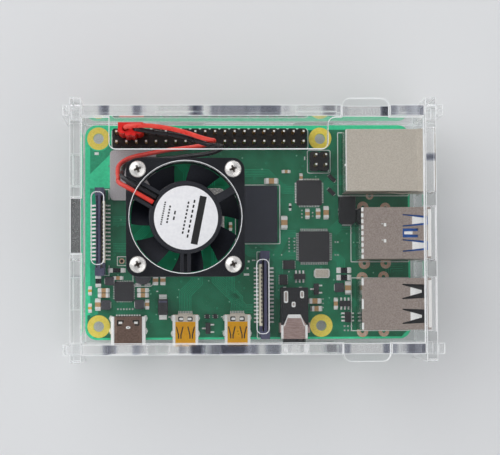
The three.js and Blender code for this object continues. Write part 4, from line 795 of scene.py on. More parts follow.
def fan_blade(bm, degrees, low, high, root, tip, thickness):
    """A blade lofted from root to tip, thin at both edges, leaning back as it goes out."""
    stations, steps = 9, 12
    rings = []
    for i in range(stations):
        along = i / (stations - 1)
        radius = root + along * (tip - root)
        upper, lower = [], []
        for j in range(steps + 1):
            share = j / steps
            angle = math.radians(BLADE_SWEEP * along + (share - 0.5) * BLADE_SPREAD)
            middle = low + thickness / 2 + share ** 1.3 * (high - low - thickness)
            half = thickness / 2 * (0.3 + 0.7 * math.sin(math.pi * share) ** 0.6)
            for side, row in ((1, upper), (-1, lower)):
                row.append(fan_turn(degrees) @ Vector((
                    radius * math.cos(angle), radius * math.sin(angle), middle + side * half)))
        rings.append([bm.verts.new(point) for point in upper + lower[::-1]])
    count = len(rings[0])
    for one, two in zip(rings, rings[1:]):
        for i in range(count):
            bm.faces.new((one[i], one[(i + 1) % count], two[(i + 1) % count], two[i]))
    for ring in (rings[0], rings[-1]):
        for j in range(steps):
            bm.faces.new((ring[j], ring[j + 1], ring[count - 2 - j], ring[count - 1 - j]))


def screw_head_recess(x, y, low, high):
    """The cross recess of a pan head, narrower towards its floor."""
    tools = []
    for turn in (0, 90):
        tool = bmesh.new()
        verts = block(tool, (-1.2, -0.3, low), (1.2, 0.3, high))
        for vert in verts[:4]:
            vert.co.x *= 0.35
            vert.co.y *= 0.7
        moved(verts, Matrix.Translation((x, y, 0)) @ Matrix.Rotation(math.radians(turn + 20), 4, "Z"))
        tools.append(tool)
    return tools


class BOARD_OT_fan(bpy.types.Operator):
    """Makes the fan's frame, rotor, motor, label and screws"""
    bl_idname = "board.fan"
    bl_label = "Fan"

    def execute(self, context):
        look = context.scene.board_fan
        self.make_frame()
        self.make_rotor(look)
        self.make_label(look)
        self.make_screws()
        for node, name in (("fan_shaft", "ground_steel"), ("fan_bearing", "sintered_bronze"),
                           ("fan_magnet_ring", "bonded_magnet"), ("fan_stator", "enamelled_copper")):
            dress(node, name, 0.06)
        for i in range(1, 5):
            dress(f"fan_nut_{i}", "nickel_plated_steel", 0.12)
        return {"FINISHED"}

    def make_frame(self):
        low, high = FAN_LOW.z, FAN_HIGH.z
        duct, hub = 14.1, 9.3
        base_low, base_high = high - 2.1, high - 0.3
        channel_width, channel_floor = 3.3, high - 1.6
        outline = rounded(FAN_LOW.x, FAN_HIGH.x, FAN_LOW.y, FAN_HIGH.y, 3.0, 8)
        holes = [circle(FAN_X, FAN_Y, duct, 96)]
        holes += [circle(FAN_X + 12 * i, FAN_Y + 12 * j, 1.5, 20) for i in (-1, 1) for j in (-1, 1)]
        bm = bmesh.new()
        prism(bm, outline, low, high, holes=holes)
        channel = bmesh.new()
        spoke(channel, 150, duct - 1, 30, 0, channel_width, channel_floor, high + 1)
        bm = carved(bm, channel)
        for degrees, offset, width, top in ((30, 0, 2.0, base_high), (150, 0, 3.5, channel_floor),
                                            (150, 2.1, 0.9, base_high), (150, -2.1, 0.9, base_high),
                                            (270, 0.9, 0.9, base_high), (270, -0.9, 0.9, base_high)):
            spoke(bm, degrees, hub - 0.5, duct + 0.25, offset, width, base_low, top)
        # The motor base has a low rim round the label's seat, and carries the bearing's tube below
        base = bmesh.new()
        turned(base, [(0, base_high), (8.35, base_high), (8.4, base_high + 0.1),
                      (hub - 0.25, base_high + 0.1),
                      (hub, base_high - 0.1), (hub, base_low), (2.55, base_low), (2.55, low + 1.6),
                      (1.95, low + 1.6), (1.95, base_high - 0.8), (0, base_high - 0.8)], 96, place=fan_turn())
        notch = bmesh.new()
        spoke(notch, 150, hub - 0.8, hub + 1, 0, channel_width, channel_floor, high + 1)
        add_mesh(bm, carved(base, notch))
        piece("fan_housing", bm, ["moulded_pbt_black"], stands_for=["fan_frame"], edge=0.18)

    def make_rotor(self, look):
        low, high = box_mm("fan_rotor")
        bottom, top = low.z, high.z
        bm = bmesh.new()
        # The hub is a cup: its closed face is below and its wall rises round the magnet ring
        turned(bm, [(0.8, bottom + 0.15), (1.4, bottom), (3.4, bottom), (3.6, bottom + 0.12),
                    (7.3, bottom + 0.12),
                    (7.9, bottom + 0.45), (8.1, bottom + 1.0), (8.1, top), (7.4, top), (7.4, bottom + 0.8),
                    (0.8, bottom + 0.8)], 72, place=fan_turn())
        for i in range(look.blade_count):
            turn = FIRST_BLADE + 360 * i / look.blade_count
            fan_blade(bm, turn, bottom + 0.2, top - 0.3, BLADE_ROOT, BLADE_TIP, look.blade_thickness)
        piece("fan_wheel_blades", bm, ["moulded_pbt_rotor"], body="fan_wheel",
              stands_for=["fan_rotor"], crease=50)

    def make_label(self, look):
        low, high = box_mm("fan_label")
        radius, seat, face = (high.x - low.x) / 2 - 0.05, low.z - 0.04, high.z
        # The label is stuck on by hand, a little off the fan's axis
        aside = Matrix.Translation((0.15, -0.12, 0))
        bm = bmesh.new()
        turned(bm, [(0, seat), (radius, seat), (radius, face - 0.02), (radius - 0.05, face), (0, face)], 96,
               place=aside @ fan_turn())
        place = aside @ fan_turn(math.degrees(look.label_tilt))
        # A plain bar and rows of short rules stand where a fan's label has its rating
        marks = [(3.28, 0, 1.75, 12.4)]
        for column, length, dash in ((1.3, 10.5, 0.8), (-0.1, 9.5, 0.6), (-3.0, 3.2, 0.9), (-4.5, 5.2, 0.5),
                                     (-5.9, 6.4, 0.35)):
            count = int(length / (dash * 1.6))
            marks += [(column, (i - (count - 1) / 2) * dash * 1.6, 0.42, dash) for i in range(count)]
        for x, y, width, height in marks:
            low_corner = (x - width / 2, y - height / 2, face - 0.01)
            moved(block(bm, low_corner, (x + width / 2, y + height / 2, face + 0.012), 1), place)
        piece("fan_label_disc", bm, ["coated_label_paper", "label_ink"],
              stands_for=["fan_label"])

    def make_screws(self):
        for i in range(1, 5):
            low, high = box_mm(f"fan_screw_{i}")
            x, y = (low.x + high.x) / 2, (low.y + high.y) / 2
            bottom, top = low.z, high.z
            profile = [(0, bottom), (0.95, bottom), (1.2, bottom + 0.25)]
            # Thread crests stand 0.45 mm apart, as on an M2.5 screw
            height = bottom + 0.3
            while height < LID_TOP - 0.6:
                profile += [(1.2, height), (1.03, height + 0.225)]
                height += 0.45
            profile += [(1.2, LID_TOP - 0.4), (1.2, LID_TOP), (2.0, LID_TOP), (2.1, LID_TOP + 0.15)]
            profile += [(2.1 * math.cos(a), LID_TOP + 0.45 + (top - LID_TOP - 0.45) * math.sin(a))
                        for a in (math.radians(15 * step) for step in range(7))]
            bm = bmesh.new()
            turned(bm, profile, 36, place=Matrix.Translation((x, y, 0)))
            floor = LID_TOP + 0.35
            bm = carved(bm, *screw_head_recess(x, y, floor, top + 0.4))
            for face in bm.faces:
                middle = face.calc_center_median()
                inside = math.hypot(middle.x - x, middle.y - y) < 1.3 and floor - 0.01 < middle.z
                # The recess is painted dull brown-grey as shade
                if inside and (face.normal.z < 0.3 or middle.z < floor + 0.05):
                    face.material_index = 1
            piece(f"pan_head_screw_{i}", bm, ["nickel_plated_steel", "recess_painted_shade"],
                  stands_for=[f"fan_screw_{i}"], crease=32)


# The bare board

BOARD_LENGTH, BOARD_WIDTH, BOARD_CORNER = 85.0, 56.0, 3.0
BOARD_FINISHES = ["solder_mask_on_laminate", "solder_mask_on_copper", "pad_metal_pale", "fluxed_copper",
                  "solder_mask_on_trace", "legend_ink_white", "hole_depth_painted_shade", "reflowed_solder"]
LAMINATE, POUR, RING, TAB_PAD, TRACE, LEGEND, HOLE_SHADE, TIN = range(8)
# Corners of the keep-out round the printed aerial, from the board's corner
AERIAL_WINDOW = [(1.5, 43.5), (6.38, 48.2), (6.4, 39.56), (1.5, 39.57)]
# Along the board's left edge the copper is thinner and shows lighter, and outside it the laminate is bare
THIN_FIELDS = [
    [(1.3, 43.3), (6.38, 48.3), (6.9, 48.4), (6.9, 51.2), (6.3, 51.2), (5.9, 50.3), (5.0, 49.5), (3.5, 49.2),
     (2.2, 49.4), (1.3, 50.2)],
    [(1.3, 6.0), (3.3, 6.7), (3.3, 39.5), (1.3, 39.5)],
]
BARE_MARGIN = 3.2
# Holes that take the tabs of the metal shells, with the radius of their pads
SHELL_TABS = [(72.3, 15.9, 1.5), (77.9, 16.2, 1.4), (72.3, 1.9, 1.5), (77.9, 1.9, 1.4), (72.6, 34.4, 1.5),
              (78.5, 34.2, 1.4), (72.9, 19.7, 1.5), (78.5, 19.7, 1.4), (74.4, 37.4, 1.0)]
# Bundles of parallel traces: their bends, how many there are and their spacing
TRACE_BUNDLES = [
    ([(7.2, 24.0), (11.0, 24.0), (17.5, 30.5), (22.0, 30.5)], 6, 0.42),
    ([(7.2, 31.0), (12.0, 31.0), (14.5, 33.5), (22.0, 33.5)], 6, 0.42),
    ([(26.0, 6.4), (26.0, 12.0), (29.0, 15.0), (29.0, 25.0)], 8, 0.42),
    ([(39.5, 6.4), (39.5, 10.5), (34.5, 15.5), (34.5, 25.0)], 8, 0.42),
    ([(43.6, 8.0), (41.5, 8.0), (37.8, 11.7), (37.8, 25.2)], 6, 0.4),
    ([(49.6, 11.0), (50.6, 12.0), (50.6, 20.0), (46.5, 24.1)], 5, 0.4),
    ([(55.0, 27.5), (52.5, 27.5), (50.0, 22.5), (43.0, 22.5), (38.5, 27.0)], 5, 0.4),
    ([(55.2, 22.0), (53.0, 22.0), (49.5, 18.5)], 6, 0.4),
    ([(64.6, 28.0), (66.4, 29.8), (70.5, 29.8)], 6, 0.45),
    ([(64.6, 22.5), (66.8, 20.3), (66.8, 12.2), (70.5, 8.5)], 5, 0.45),
    ([(62.5, 39.5), (64.5, 41.5), (68.0, 41.5)], 6, 0.45),
    ([(54.6, 39.0), (52.0, 39.0), (47.5, 43.5), (38.0, 43.5)], 5, 0.42),
    ([(18.5, 46.5), (24.0, 46.5), (26.5, 44.0), (26.5, 40.5)], 5, 0.42),
    ([(30.0, 49.2), (30.0, 44.0), (32.0, 42.0), (32.0, 40.2)], 8, 0.5),
    ([(79.5, 17.2), (79.5, 18.6), (83.0, 18.6)], 4, 0.6),
]
# White outlines round the parts: left, right, front, back and corner radius
LEGEND_BOXES = [
    (6.95, 58.35, 49.75, 55.15, 0.8), (58.1, 64.1, 43.4, 49.4, 0.5), (39.2, 50.8, 24.9, 40.3, 0.2),
    (66.1, 84.6, 37.4, 54.0, 0.2), (69.4, 84.6, 20.1, 33.9, 0.2), (69.4, 84.6, 2.1, 15.9, 0.2),
(44.75, 47.95, 0.3, 22.8, 0.2), (12.4, 17.6, 13.9, 19.2, 0.9), (8.35, 10.65, 19.35, 21.65, 0.1),
]
# Corners of the outline that stands beside the display connector's leads
LEGEND_CORNERS = [[(4.4, 39.2), (6.2, 39.2), (6.2, 36.6)], [(6.2, 19.4), (6.2, 16.8), (4.9, 16.8)]]
# Small white marks beside the parts: place and size
LEGEND_MARKS = [
    (51.2, 22.0, 0.3, 0.3), (18.7, 12.6, 0.5, 0.3), (22.2, 5.9, 1.2, 0.25), (35.9, 5.9, 1.2, 0.25),
    (3.0, 48.6, 1.1, 0.7),
    (63.6, 44.2, 0.3, 0.9), (57.4, 47.3, 0.3, 0.9), (43.9, 20.6, 0.9, 0.3), (24.0, 46.6, 0.3, 0.3),
    (25.2, 46.6, 0.3, 0.3),
    (26.4, 46.6, 0.3, 0.3), (42.6, 20.3, 0.5, 0.5), (42.3, 18.5, 0.5, 0.5), (42.0, 16.9, 1.4, 0.6),
    (53.1, 17.6, 0.3, 0.3),
]


def ribbon(bm, points, width, height, index, closed=False, offset=0.0):
    """A flat line of even width on the board, with mitred corners."""
    points = [Vector(on_board(*point)) for point in points]
    rings = []
    for i, here in enumerate(points):
        ways = []
        if closed or i:
            ways.append((here - points[i - 1]).normalized())
        if closed or i < len(points) - 1:
            ways.append((points[(i + 1) % len(points)] - here).normalized())
        sides = [Vector((-way.y, way.x)) for way in ways]
        middle = sum(sides, Vector((0, 0))).normalized()
        middle /= max(0.4, middle.dot(sides[0]))
        near, far = here + middle * (offset - width / 2), here + middle * (offset + width / 2)
        rings.append([bm.verts.new((*spot, z)) for spot, z in (
            (near, TOP - 0.01), (far, TOP - 0.01), (far, TOP + height), (near, TOP + height))])
    pairs = list(zip(rings, rings[1:] + rings[:1]))
    for one, two in pairs if closed else pairs[:-1]:
        for i in range(4):
            bm.faces.new((one[i], one[(i + 1) % 4], two[(i + 1) % 4], two[i]))
    if not closed:
        bm.faces.new(rings[0])
        bm.faces.new(rings[-1])
    paint([vert for ring in rings for vert in ring], index)


class BOARD_OT_circuit(bpy.types.Operator):
    """Makes the bare board with its copper, traces, pads, vias and plain legend"""
    bl_idname = "board.circuit"
    bl_label = "Bare board"

    def execute(self, context):
        look = context.scene.board_circuit
        rise = look.mask_height
        x0, y0 = on_board(0, 0)
        x1, y1 = on_board(BOARD_LENGTH, BOARD_WIDTH)
        holes = [circle(*on_board(*hole), 1.35, 28) for hole in MOUNTING_HOLES]
        bm = bmesh.new()
        prism(bm, rounded(x0, x1, y0, y1, BOARD_CORNER, 8), UNDER, TOP, LAMINATE, holes)
        rim = 0.55
        pour = rounded(x0 + rim, x1 - rim, y0 + rim, y1 - rim, BOARD_CORNER - rim, 8)
        upper_pour = [(x0 + BARE_MARGIN, y0 + 7), (x0 + rim, y0 + 6.4), (x0 + rim, y0 + 2.5),
                      (x0 + 2.5, y0 + rim),
                      (x1 - 2.5, y0 + rim), (x1 - rim, y0 + 2.5), (x1 - rim, y1 - 2.5), (x1 - 2.5, y1 - 1.2),
                      (x0 + 7, y1 - 1.2), (x0 + 7, y0 + 39.56), (x0 + BARE_MARGIN, y0 + 39.5)]
        prism(bm, upper_pour, TOP - 0.01, TOP + rise, POUR,
              [hole for hole, (x, y) in zip(holes, MOUNTING_HOLES) if x > 7 or y < 7])
        prism(bm, [on_board(*point) for point in AERIAL_WINDOW], TOP - 0.01, TOP + 0.005, LAMINATE)
        for field in THIN_FIELDS:
            prism(bm, [on_board(*point) for point in field], TOP - 0.01, TOP + rise + 0.006, TRACE)
        prism(bm, pour, UNDER - rise, UNDER + 0.01, POUR, holes)
        for x, y in MOUNTING_HOLES:
            for low, high in ((TOP, TOP + rise + 0.02), (UNDER - rise - 0.02, UNDER)):
                prism(bm, circle(*on_board(x, y), 2.95, 48), low, high, RING,
                      [circle(*on_board(x, y), 1.35, 28)])
        for x, y, radius in SHELL_TABS:
            for low, high in ((TOP, TOP + rise + 0.03), (UNDER - rise - 0.03, UNDER)):
                prism(bm, circle(*on_board(x, y), radius, 24), low, high, TAB_PAD,
                      [circle(*on_board(x, y), 0.45, 12)])
        self.draw_traces(bm, look)
        self.drill_vias(bm, look)
        for left, right, front, back, radius in LEGEND_BOXES:
            ribbon(bm, rounded(left, right, front, back, radius, 4), 0.2, rise + 0.035, LEGEND, closed=True)
        for points in LEGEND_CORNERS:
            ribbon(bm, points, 0.2, rise + 0.035, LEGEND)
        for x, y, width, height in LEGEND_MARKS:
            standing(bm, (x, y), (width, height), TOP, TOP + rise + 0.035, LEGEND)
        piece("bare_board", bm, BOARD_FINISHES, stands_for=["circuit_board"])
        return {"FINISHED"}

    def draw_traces(self, bm, look):
        for bends, count, pitch in TRACE_BUNDLES:
            for i in range(count):
                ribbon(bm, bends, look.trace_width, look.mask_height + 0.012, TRACE,
                       offset=(i - (count - 1) / 2) * pitch)

    def drill_vias(self, bm, look):
        chance = random.Random(4)
        kept_clear = [(x, y, 3.6) for x, y in MOUNTING_HOLES]
        for _ in range(look.via_count):
            x, y = chance.uniform(6, 78), chance.uniform(1.5, 49)
            if any(math.hypot(x - cx, y - cy) < reach for cx, cy, reach in kept_clear):
                continue
            kept_clear.append((x, y, 0.7))
            place = on_board(x, y)
            prism(bm, circle(*place, 0.27, 10), TOP, TOP + look.mask_height + 0.014, TRACE)
            # Most via cores are painted near black as the shade down the hole
            core = TIN if chance.random() < 0.35 else HOLE_SHADE
            prism(bm, circle(*place, 0.12, 8), TOP, TOP + look.mask_height + 0.02, core)


# The pin headers

PIN_WIDTH = 0.64
PIN_TOP, PIN_TAIL = 8.5, 2.0
HEADER_BASE = 2.54


def header_base(bm, first, columns, rows):
    """A moulded base whose long sides have a notch between neighbouring pins."""
    half, notch = PIN_PITCH / 2, 0.42
    x0, y0 = on_board(first[0] - half, first[1] - half)
    x1, y1 = x0 + columns * PIN_PITCH, y0 + rows * PIN_PITCH
    front, back = [], []
    for i in range(columns):
        left = x0 + i * PIN_PITCH
        front += [(left + notch, y0), (left + PIN_PITCH - notch, y0)]
        back += [(left + notch, y1), (left + PIN_PITCH - notch, y1)]
        if i < columns - 1:
            front.append((left + PIN_PITCH, y0 + notch))
            back.append((left + PIN_PITCH, y1 - notch))
    left_side, right_side = [], []
    for j in range(rows):
        low = y0 + j * PIN_PITCH
        left_side += [(x0, low + notch), (x0, low + PIN_PITCH - notch)]
        right_side += [(x1, low + notch), (x1, low + PIN_PITCH - notch)]
        if j < rows - 1:
            left_side.append((x0 + notch * 0.5, low + PIN_PITCH))
            right_side.append((x1 - notch * 0.5, low + PIN_PITCH))
    prism(bm, front + right_side + back[::-1] + left_side[::-1], TOP + 0.05, TOP + HEADER_BASE)


def square_pin(bm, x, y, low, high, width, taper, index=0, tip_index=0):
    """A square pin whose ends are coined to blunt points."""
    rings = []
    for z, share in ((low, 0.45), (low + taper, 1.0), (high - taper, 1.0), (high, 0.72)):
        half = width / 2 * share
        rings.append([bm.verts.new((x + a * half, y + b * half, z)) for a,
                      b in ((-1, -1), (1, -1), (1, 1), (-1, 1))])
    for one, two in zip(rings, rings[1:]):
        for i in range(4):
            bm.faces.new((one[i], one[(i + 1) % 4], two[(i + 1) % 4], two[i]))
    bm.faces.new(rings[0])
    paint([vert for ring in rings for vert in ring], index)
    bm.faces.new(rings[-1]).material_index = tip_index


class BOARD_OT_headers(bpy.types.Operator):
    """Makes the long pin header and the small one beside the network jack"""
    bl_idname = "board.headers"
    bl_label = "Pin headers"

    def execute(self, context):
        for name, node, pins, columns in (("long_header", "gpio_header", HEADER_PINS, 20),
                                          ("small_header", "poe_header", POWER_PINS, 2)):
            bm = bmesh.new()
            header_base(bm, pins[0], columns, 2)
            piece(name + "_base", bm, ["lcp_black"], stands_for=[node], edge=0.06)
            bm = bmesh.new()
            for x, y in pins:
                # The pins' flat tips take the near-white tin as a painted highlight
                square_pin(bm, *on_board(x, y), UNDER - PIN_TAIL, TOP + PIN_TOP, PIN_WIDTH, 0.4, tip_index=1)
            piece(name + "_pins", bm, ["flash_gold_plate", "tin_plate_painted_bright"],
                  stands_for=[node])
        return {"FINISHED"}


# The sockets

def shell_tube(bm, low, high, opening, wall, index=0):
    """A pressed shell, cut from a solid block, that is open towards +X and closed behind. The wall thickness is
    not used.
    """
    tools = []
    for x0, y0, z0, x1, y1, z1 in opening:
        tool = bmesh.new()
        block(tool, (x0, y0, z0), (x1, y1, z1))
        tools.append(tool)
    block(bm, low, high, index)
    return carved(bm, *tools)


def box_tool(low, high):
    """A box to cut with."""
    tool = bmesh.new()
    block(tool, low, high)
    return tool


# Springs of the two stacks' roofs, in millimetres behind the front: how far they stand from the middle,
# where they are held, where the window ends, where the tip is, and half the widths at the root and the end
# of the window and of the spring
ROOF_SPRINGS = {
    "usb3": dict(offset=3.2, held=7.1, front=0.6, tip=1.2, window=(1.62, 1.12), blade=(1.3, 0.62), dip=0.5),
    "usb2": dict(offset=3.15, held=7.3, front=1.0, tip=2.3, window=(1.95, 1.7), blade=(1.68, 0.34), dip=0.7),
}
# The blue stack's middle tongue is held in front and free behind
MIDDLE_TONGUE = dict(window=1.15, back=7.1, front=3.15, tip=6.7, half=0.45)
PORT_FEET = (1.7, 9.2)


class BOARD_OT_usb(bpy.types.Operator):
    """Makes the two stacks of USB sockets"""
    bl_idname = "board.usb"
    bl_label = "USB sockets"

    def execute(self, context):
        for name, core in (("usb3", "nylon_blue"), ("usb2", "lcp_black")):
            low, high = box_mm(f"{name}_shell")
            middle = (low.y + high.y) / 2
            self.make_shell(name, low, high, middle, ROOF_SPRINGS[name], core)
            dress(f"{name}_insert", core, 0.1)
            self.make_contacts(name, low, high, middle)
        return {"FINISHED"}

    def make_shell(self, name, low, high, middle, spring, core):
        wall, front, back = 0.35, high.x, low.x
        openings = []
        for foot in PORT_FEET:
            openings.append((back + 4.0, middle - 6.2, TOP + foot - 0.15, front + 1, middle + 6.2,
                             TOP + foot + 5.35))
        openings.append((back + 0.4, low.y + wall, TOP + 7.2, front - 4, high.y - wall, TOP + 8.8))
        bm = shell_tube(bmesh.new(), (back, low.y, TOP + 0.02), (front, high.y, high.z), openings, wall)
        roof = (high.z - 0.8, high.z + 1)
        windows = []
        for side in (-1, 1):
            y, (wide, narrow) = middle + side * spring["offset"], spring["window"]
            windows.append(bmesh.new())
            prism(windows[-1], [(front - spring["held"], y - wide), (front - spring["front"], y - narrow),
                                (front - spring["front"], y + narrow), (front - spring["held"], y + wide)],
                                *roof)
        for foot in PORT_FEET:
            for side in (low.y, high.y):
                windows.append(box_tool((front - 5.0, side - 0.9, TOP + foot + 1.2),
                                        (front - 1.0, side + 0.9, TOP + foot + 3.9)))
        tongue = MIDDLE_TONGUE
        if name == "usb3":
            windows.append(box_tool((front - tongue["back"], middle - tongue["window"], roof[0]),
                                    (front - tongue["front"], middle + tongue["window"], roof[1])))
            # Two small latches are punched out of the roof behind
            for at in (-2.0, 2.1):
                windows.append(box_tool((front - 12.6, middle + at - 0.42, high.z - 0.2),
                                        (front - 11.9, middle + at + 0.42, high.z + 1)))
        bm = carved(bm, *windows)
        for face in bm.faces:
            # The socket's core shows at the bottom of each window, and the back is tin with a painted reflection
            # of the board
            if abs(face.calc_center_median().z - roof[0]) < 0.01 and abs(face.normal.z) > 0.9:
                face.material_index = 2
            elif abs(face.calc_center_median().x - back) < 0.01 and abs(face.normal.x) > 0.9:
                face.material_index = 3
        height = high.z - wall / 2
        for side in (-1, 1):
            self.finger(bm, front - spring["held"] - 0.1, front - spring["tip"],
                        middle + side * spring["offset"],
                        *spring["blade"], height, spring["dip"])
        if name == "usb3":
            self.finger(bm, front - tongue["front"] + 0.1, front - tongue["tip"], middle, tongue["half"],
                        tongue["half"] * 0.8, height, 0.12)
            for at in (-2.0, 2.1):
                block(bm, (front - 11.9, middle + at - 0.42, high.z - 0.1),
                      (front - 11.3, middle + at + 0.42, high.z + 0.1), 1)
                block(bm, (front - 12.5, middle + at + 0.12, high.z - 0.3),
                      (front - 12.0, middle + at + 0.32, high.z + 0.06), 1)
        self.back_edge(bm, name, back, middle, high)
        self.lips(bm, front, low, high, middle)
        piece(f"{name}_pressed_shell", bm,
              ["tinned_steel_sheet", "tin_plate_painted_bright", core, "tin_plate_painted_board_reflection"],
              stands_for=[f"{name}_shell"], edge=0.1)

    def finger(self, bm, root, tip, middle, half_root, half_tip, height, dip):
        """A spring that is level, then dips into the port and curls up again at a tip painted bright as a painted
        highlight.
        """
        profile = ((0.0, 0.0), (0.3, 0.0), (0.42, 0.05), (0.62, 0.35), (0.82, 0.9), (0.9, 1.0), (1.0, 0.72))
        rings = []
        for along, drop in profile:
            x = root + (tip - root) * along
            half = half_root + (half_tip - half_root) * along
            rings.append([bm.verts.new((x, middle + a * half, height - dip * drop + b * 0.14))
                          for a, b in ((-1, -1), (1, -1), (1, 1), (-1, 1))])
        for i, (one, two) in enumerate(zip(rings, rings[1:])):
            for j in range(4):
                face = bm.faces.new((one[j], one[(j + 1) % 4], two[(j + 1) % 4], two[j]))
                # From the dip on the spring is painted bright, a painted highlight where its bend catches the
                # light
                face.material_index = 1 if i > 1 else 0
        bm.faces.new(rings[0])
        bm.faces.new(rings[-1]).material_index = 1

    def back_edge(self, bm, name, back, middle, high):
        # The fold along the back carries bright bars as a painted highlight; the older socket has two slots in it,
        # the blue one a row of teeth
        if name == "usb3":
            for i in range(9):
                y = middle - 6 + i * 1.5
                block(bm, (back - 0.02, y - 0.5, high.z - 0.5), (back + 0.55, y + 0.5, high.z + 0.05), 1)
        else:
            for y, half in ((middle - 5.6, 0.9), (middle, 1.3), (middle + 5.6, 0.9)):
                block(bm, (back - 0.02, y - half, high.z - 0.5), (back + 0.5, y + half, high.z + 0.05), 1)

    def lips(self, bm, front, low, high, middle):
        # The rim of each port turns outwards as a lead-in
        strip(bm, [(front - 0.75, middle, high.z - 0.08), (front - 0.25, middle, high.z + 0.0),
                   (front + 0.12, middle, high.z + 0.12)], (0, 1, 0), 12.0, 0.22, 1)
        for side, out in ((low.y, -1), (high.y, 1)):
            for foot in PORT_FEET:
                z = TOP + foot + 2.6
                strip(bm, [(front - 0.7, side - out * 0.15, z), (front - 0.2, side - out * 0.12, z),
                           (front + 0.1, side + out * 0.15, z)], (0, 0, 1), 3.4, 0.25, 1)

    def make_contacts(self, name, low, high, middle):
        bm = bmesh.new()
        for foot in PORT_FEET:
            for i in range(4):
                y = middle + (i - 1.5) * 2.3
                z = TOP + foot + 2.55
                strip(bm, [(high.x - 12.5, y, z), (high.x - 3.2, y, z), (high.x - 2.6, y, z - 0.22),
                           (high.x - 1.9, y, z + 0.1)], (0, 1, 0), 1.0, 0.14)
        piece(f"{name}_contacts", bm, ["flash_gold_plate"])


class BOARD_OT_network(bpy.types.Operator):
    """Finishes the network jack with its front band, light pipes and contacts"""
    bl_idname = "board.network"
    bl_label = "Network jack"

    def execute(self, context):
        dress("ethernet_shell", "nickelled_brass_sheet", 0.15)
        dress("ethernet_insert", "lcp_black", 0.1)
        low, high = box_mm("ethernet_shell")
        middle = (low.y + high.y) / 2
        front = high.x
        bm = bmesh.new()
        # The mouth of the shell is a separate raised band, and the fold at the back stands a little proud
        block(bm, (front - 2.1, low.y - 0.02, high.z - 0.3), (front - 0.25, high.y + 0.02, high.z + 0.07))
        for side, out in ((low.y, -1), (high.y, 1)):
            block(bm, (front - 2.1, side - 0.1, TOP + 1.0), (front - 0.25, side + 0.1, high.z + 0.05))
            strip(bm, [(front - 9, side + out * 0.02, TOP + 7), (front - 5, side + out * 0.35, TOP + 7),
                       (front - 3, side + out * 0.1, TOP + 7)], (0, 0, 1), 2.4, 0.25)
        # The back face is tin tinted green as a painted reflection of the board
        block(bm, (low.x - 0.08, low.y + 0.02, TOP + 0.3), (low.x + 0.1, high.y - 0.02, high.z - 0.2), 2)
        block(bm, (low.x - 0.06, low.y + 0.2, high.z - 0.3), (low.x + 0.22, high.y - 0.2, high.z + 0.05), 1)
        strip(bm, [(low.x + 0.1, low.y + 6.9, high.z), (low.x - 0.35, low.y + 6.6, high.z - 0.1)],
              (0, 1, 0), 0.5, 0.2, 1)
        piece("network_shell_bands", bm, ["nickelled_brass_sheet", "tin_plate_painted_bright", "tin_plate_painted_board_reflection"],
              edge=0.06)
        for side, name in ((-1, "light_pipe_green"), (1, "light_pipe_amber")):
            bm = bmesh.new()
            y = middle + side * 5.2
            block(bm, (front - 1.5, y - 1.5, TOP + 11.0), (front + 0.06, y + 1.5, TOP + 12.6))
            piece(f"network_{name}", bm, [name], edge=0.15)
        bm = bmesh.new()
        for i in range(8):
            y = middle + (i - 3.5) * 1.02
            strip(bm, [(front - 12.5, y, TOP + 9.6), (front - 3.4, y, TOP + 9.6), (front - 2.6, y, TOP + 9.2),
                       (front - 9.5, y, TOP + 6.6)], (0, 1, 0), 0.45, 0.2)
        piece("network_contacts", bm, ["flash_gold_plate"])
        return {"FINISHED"}


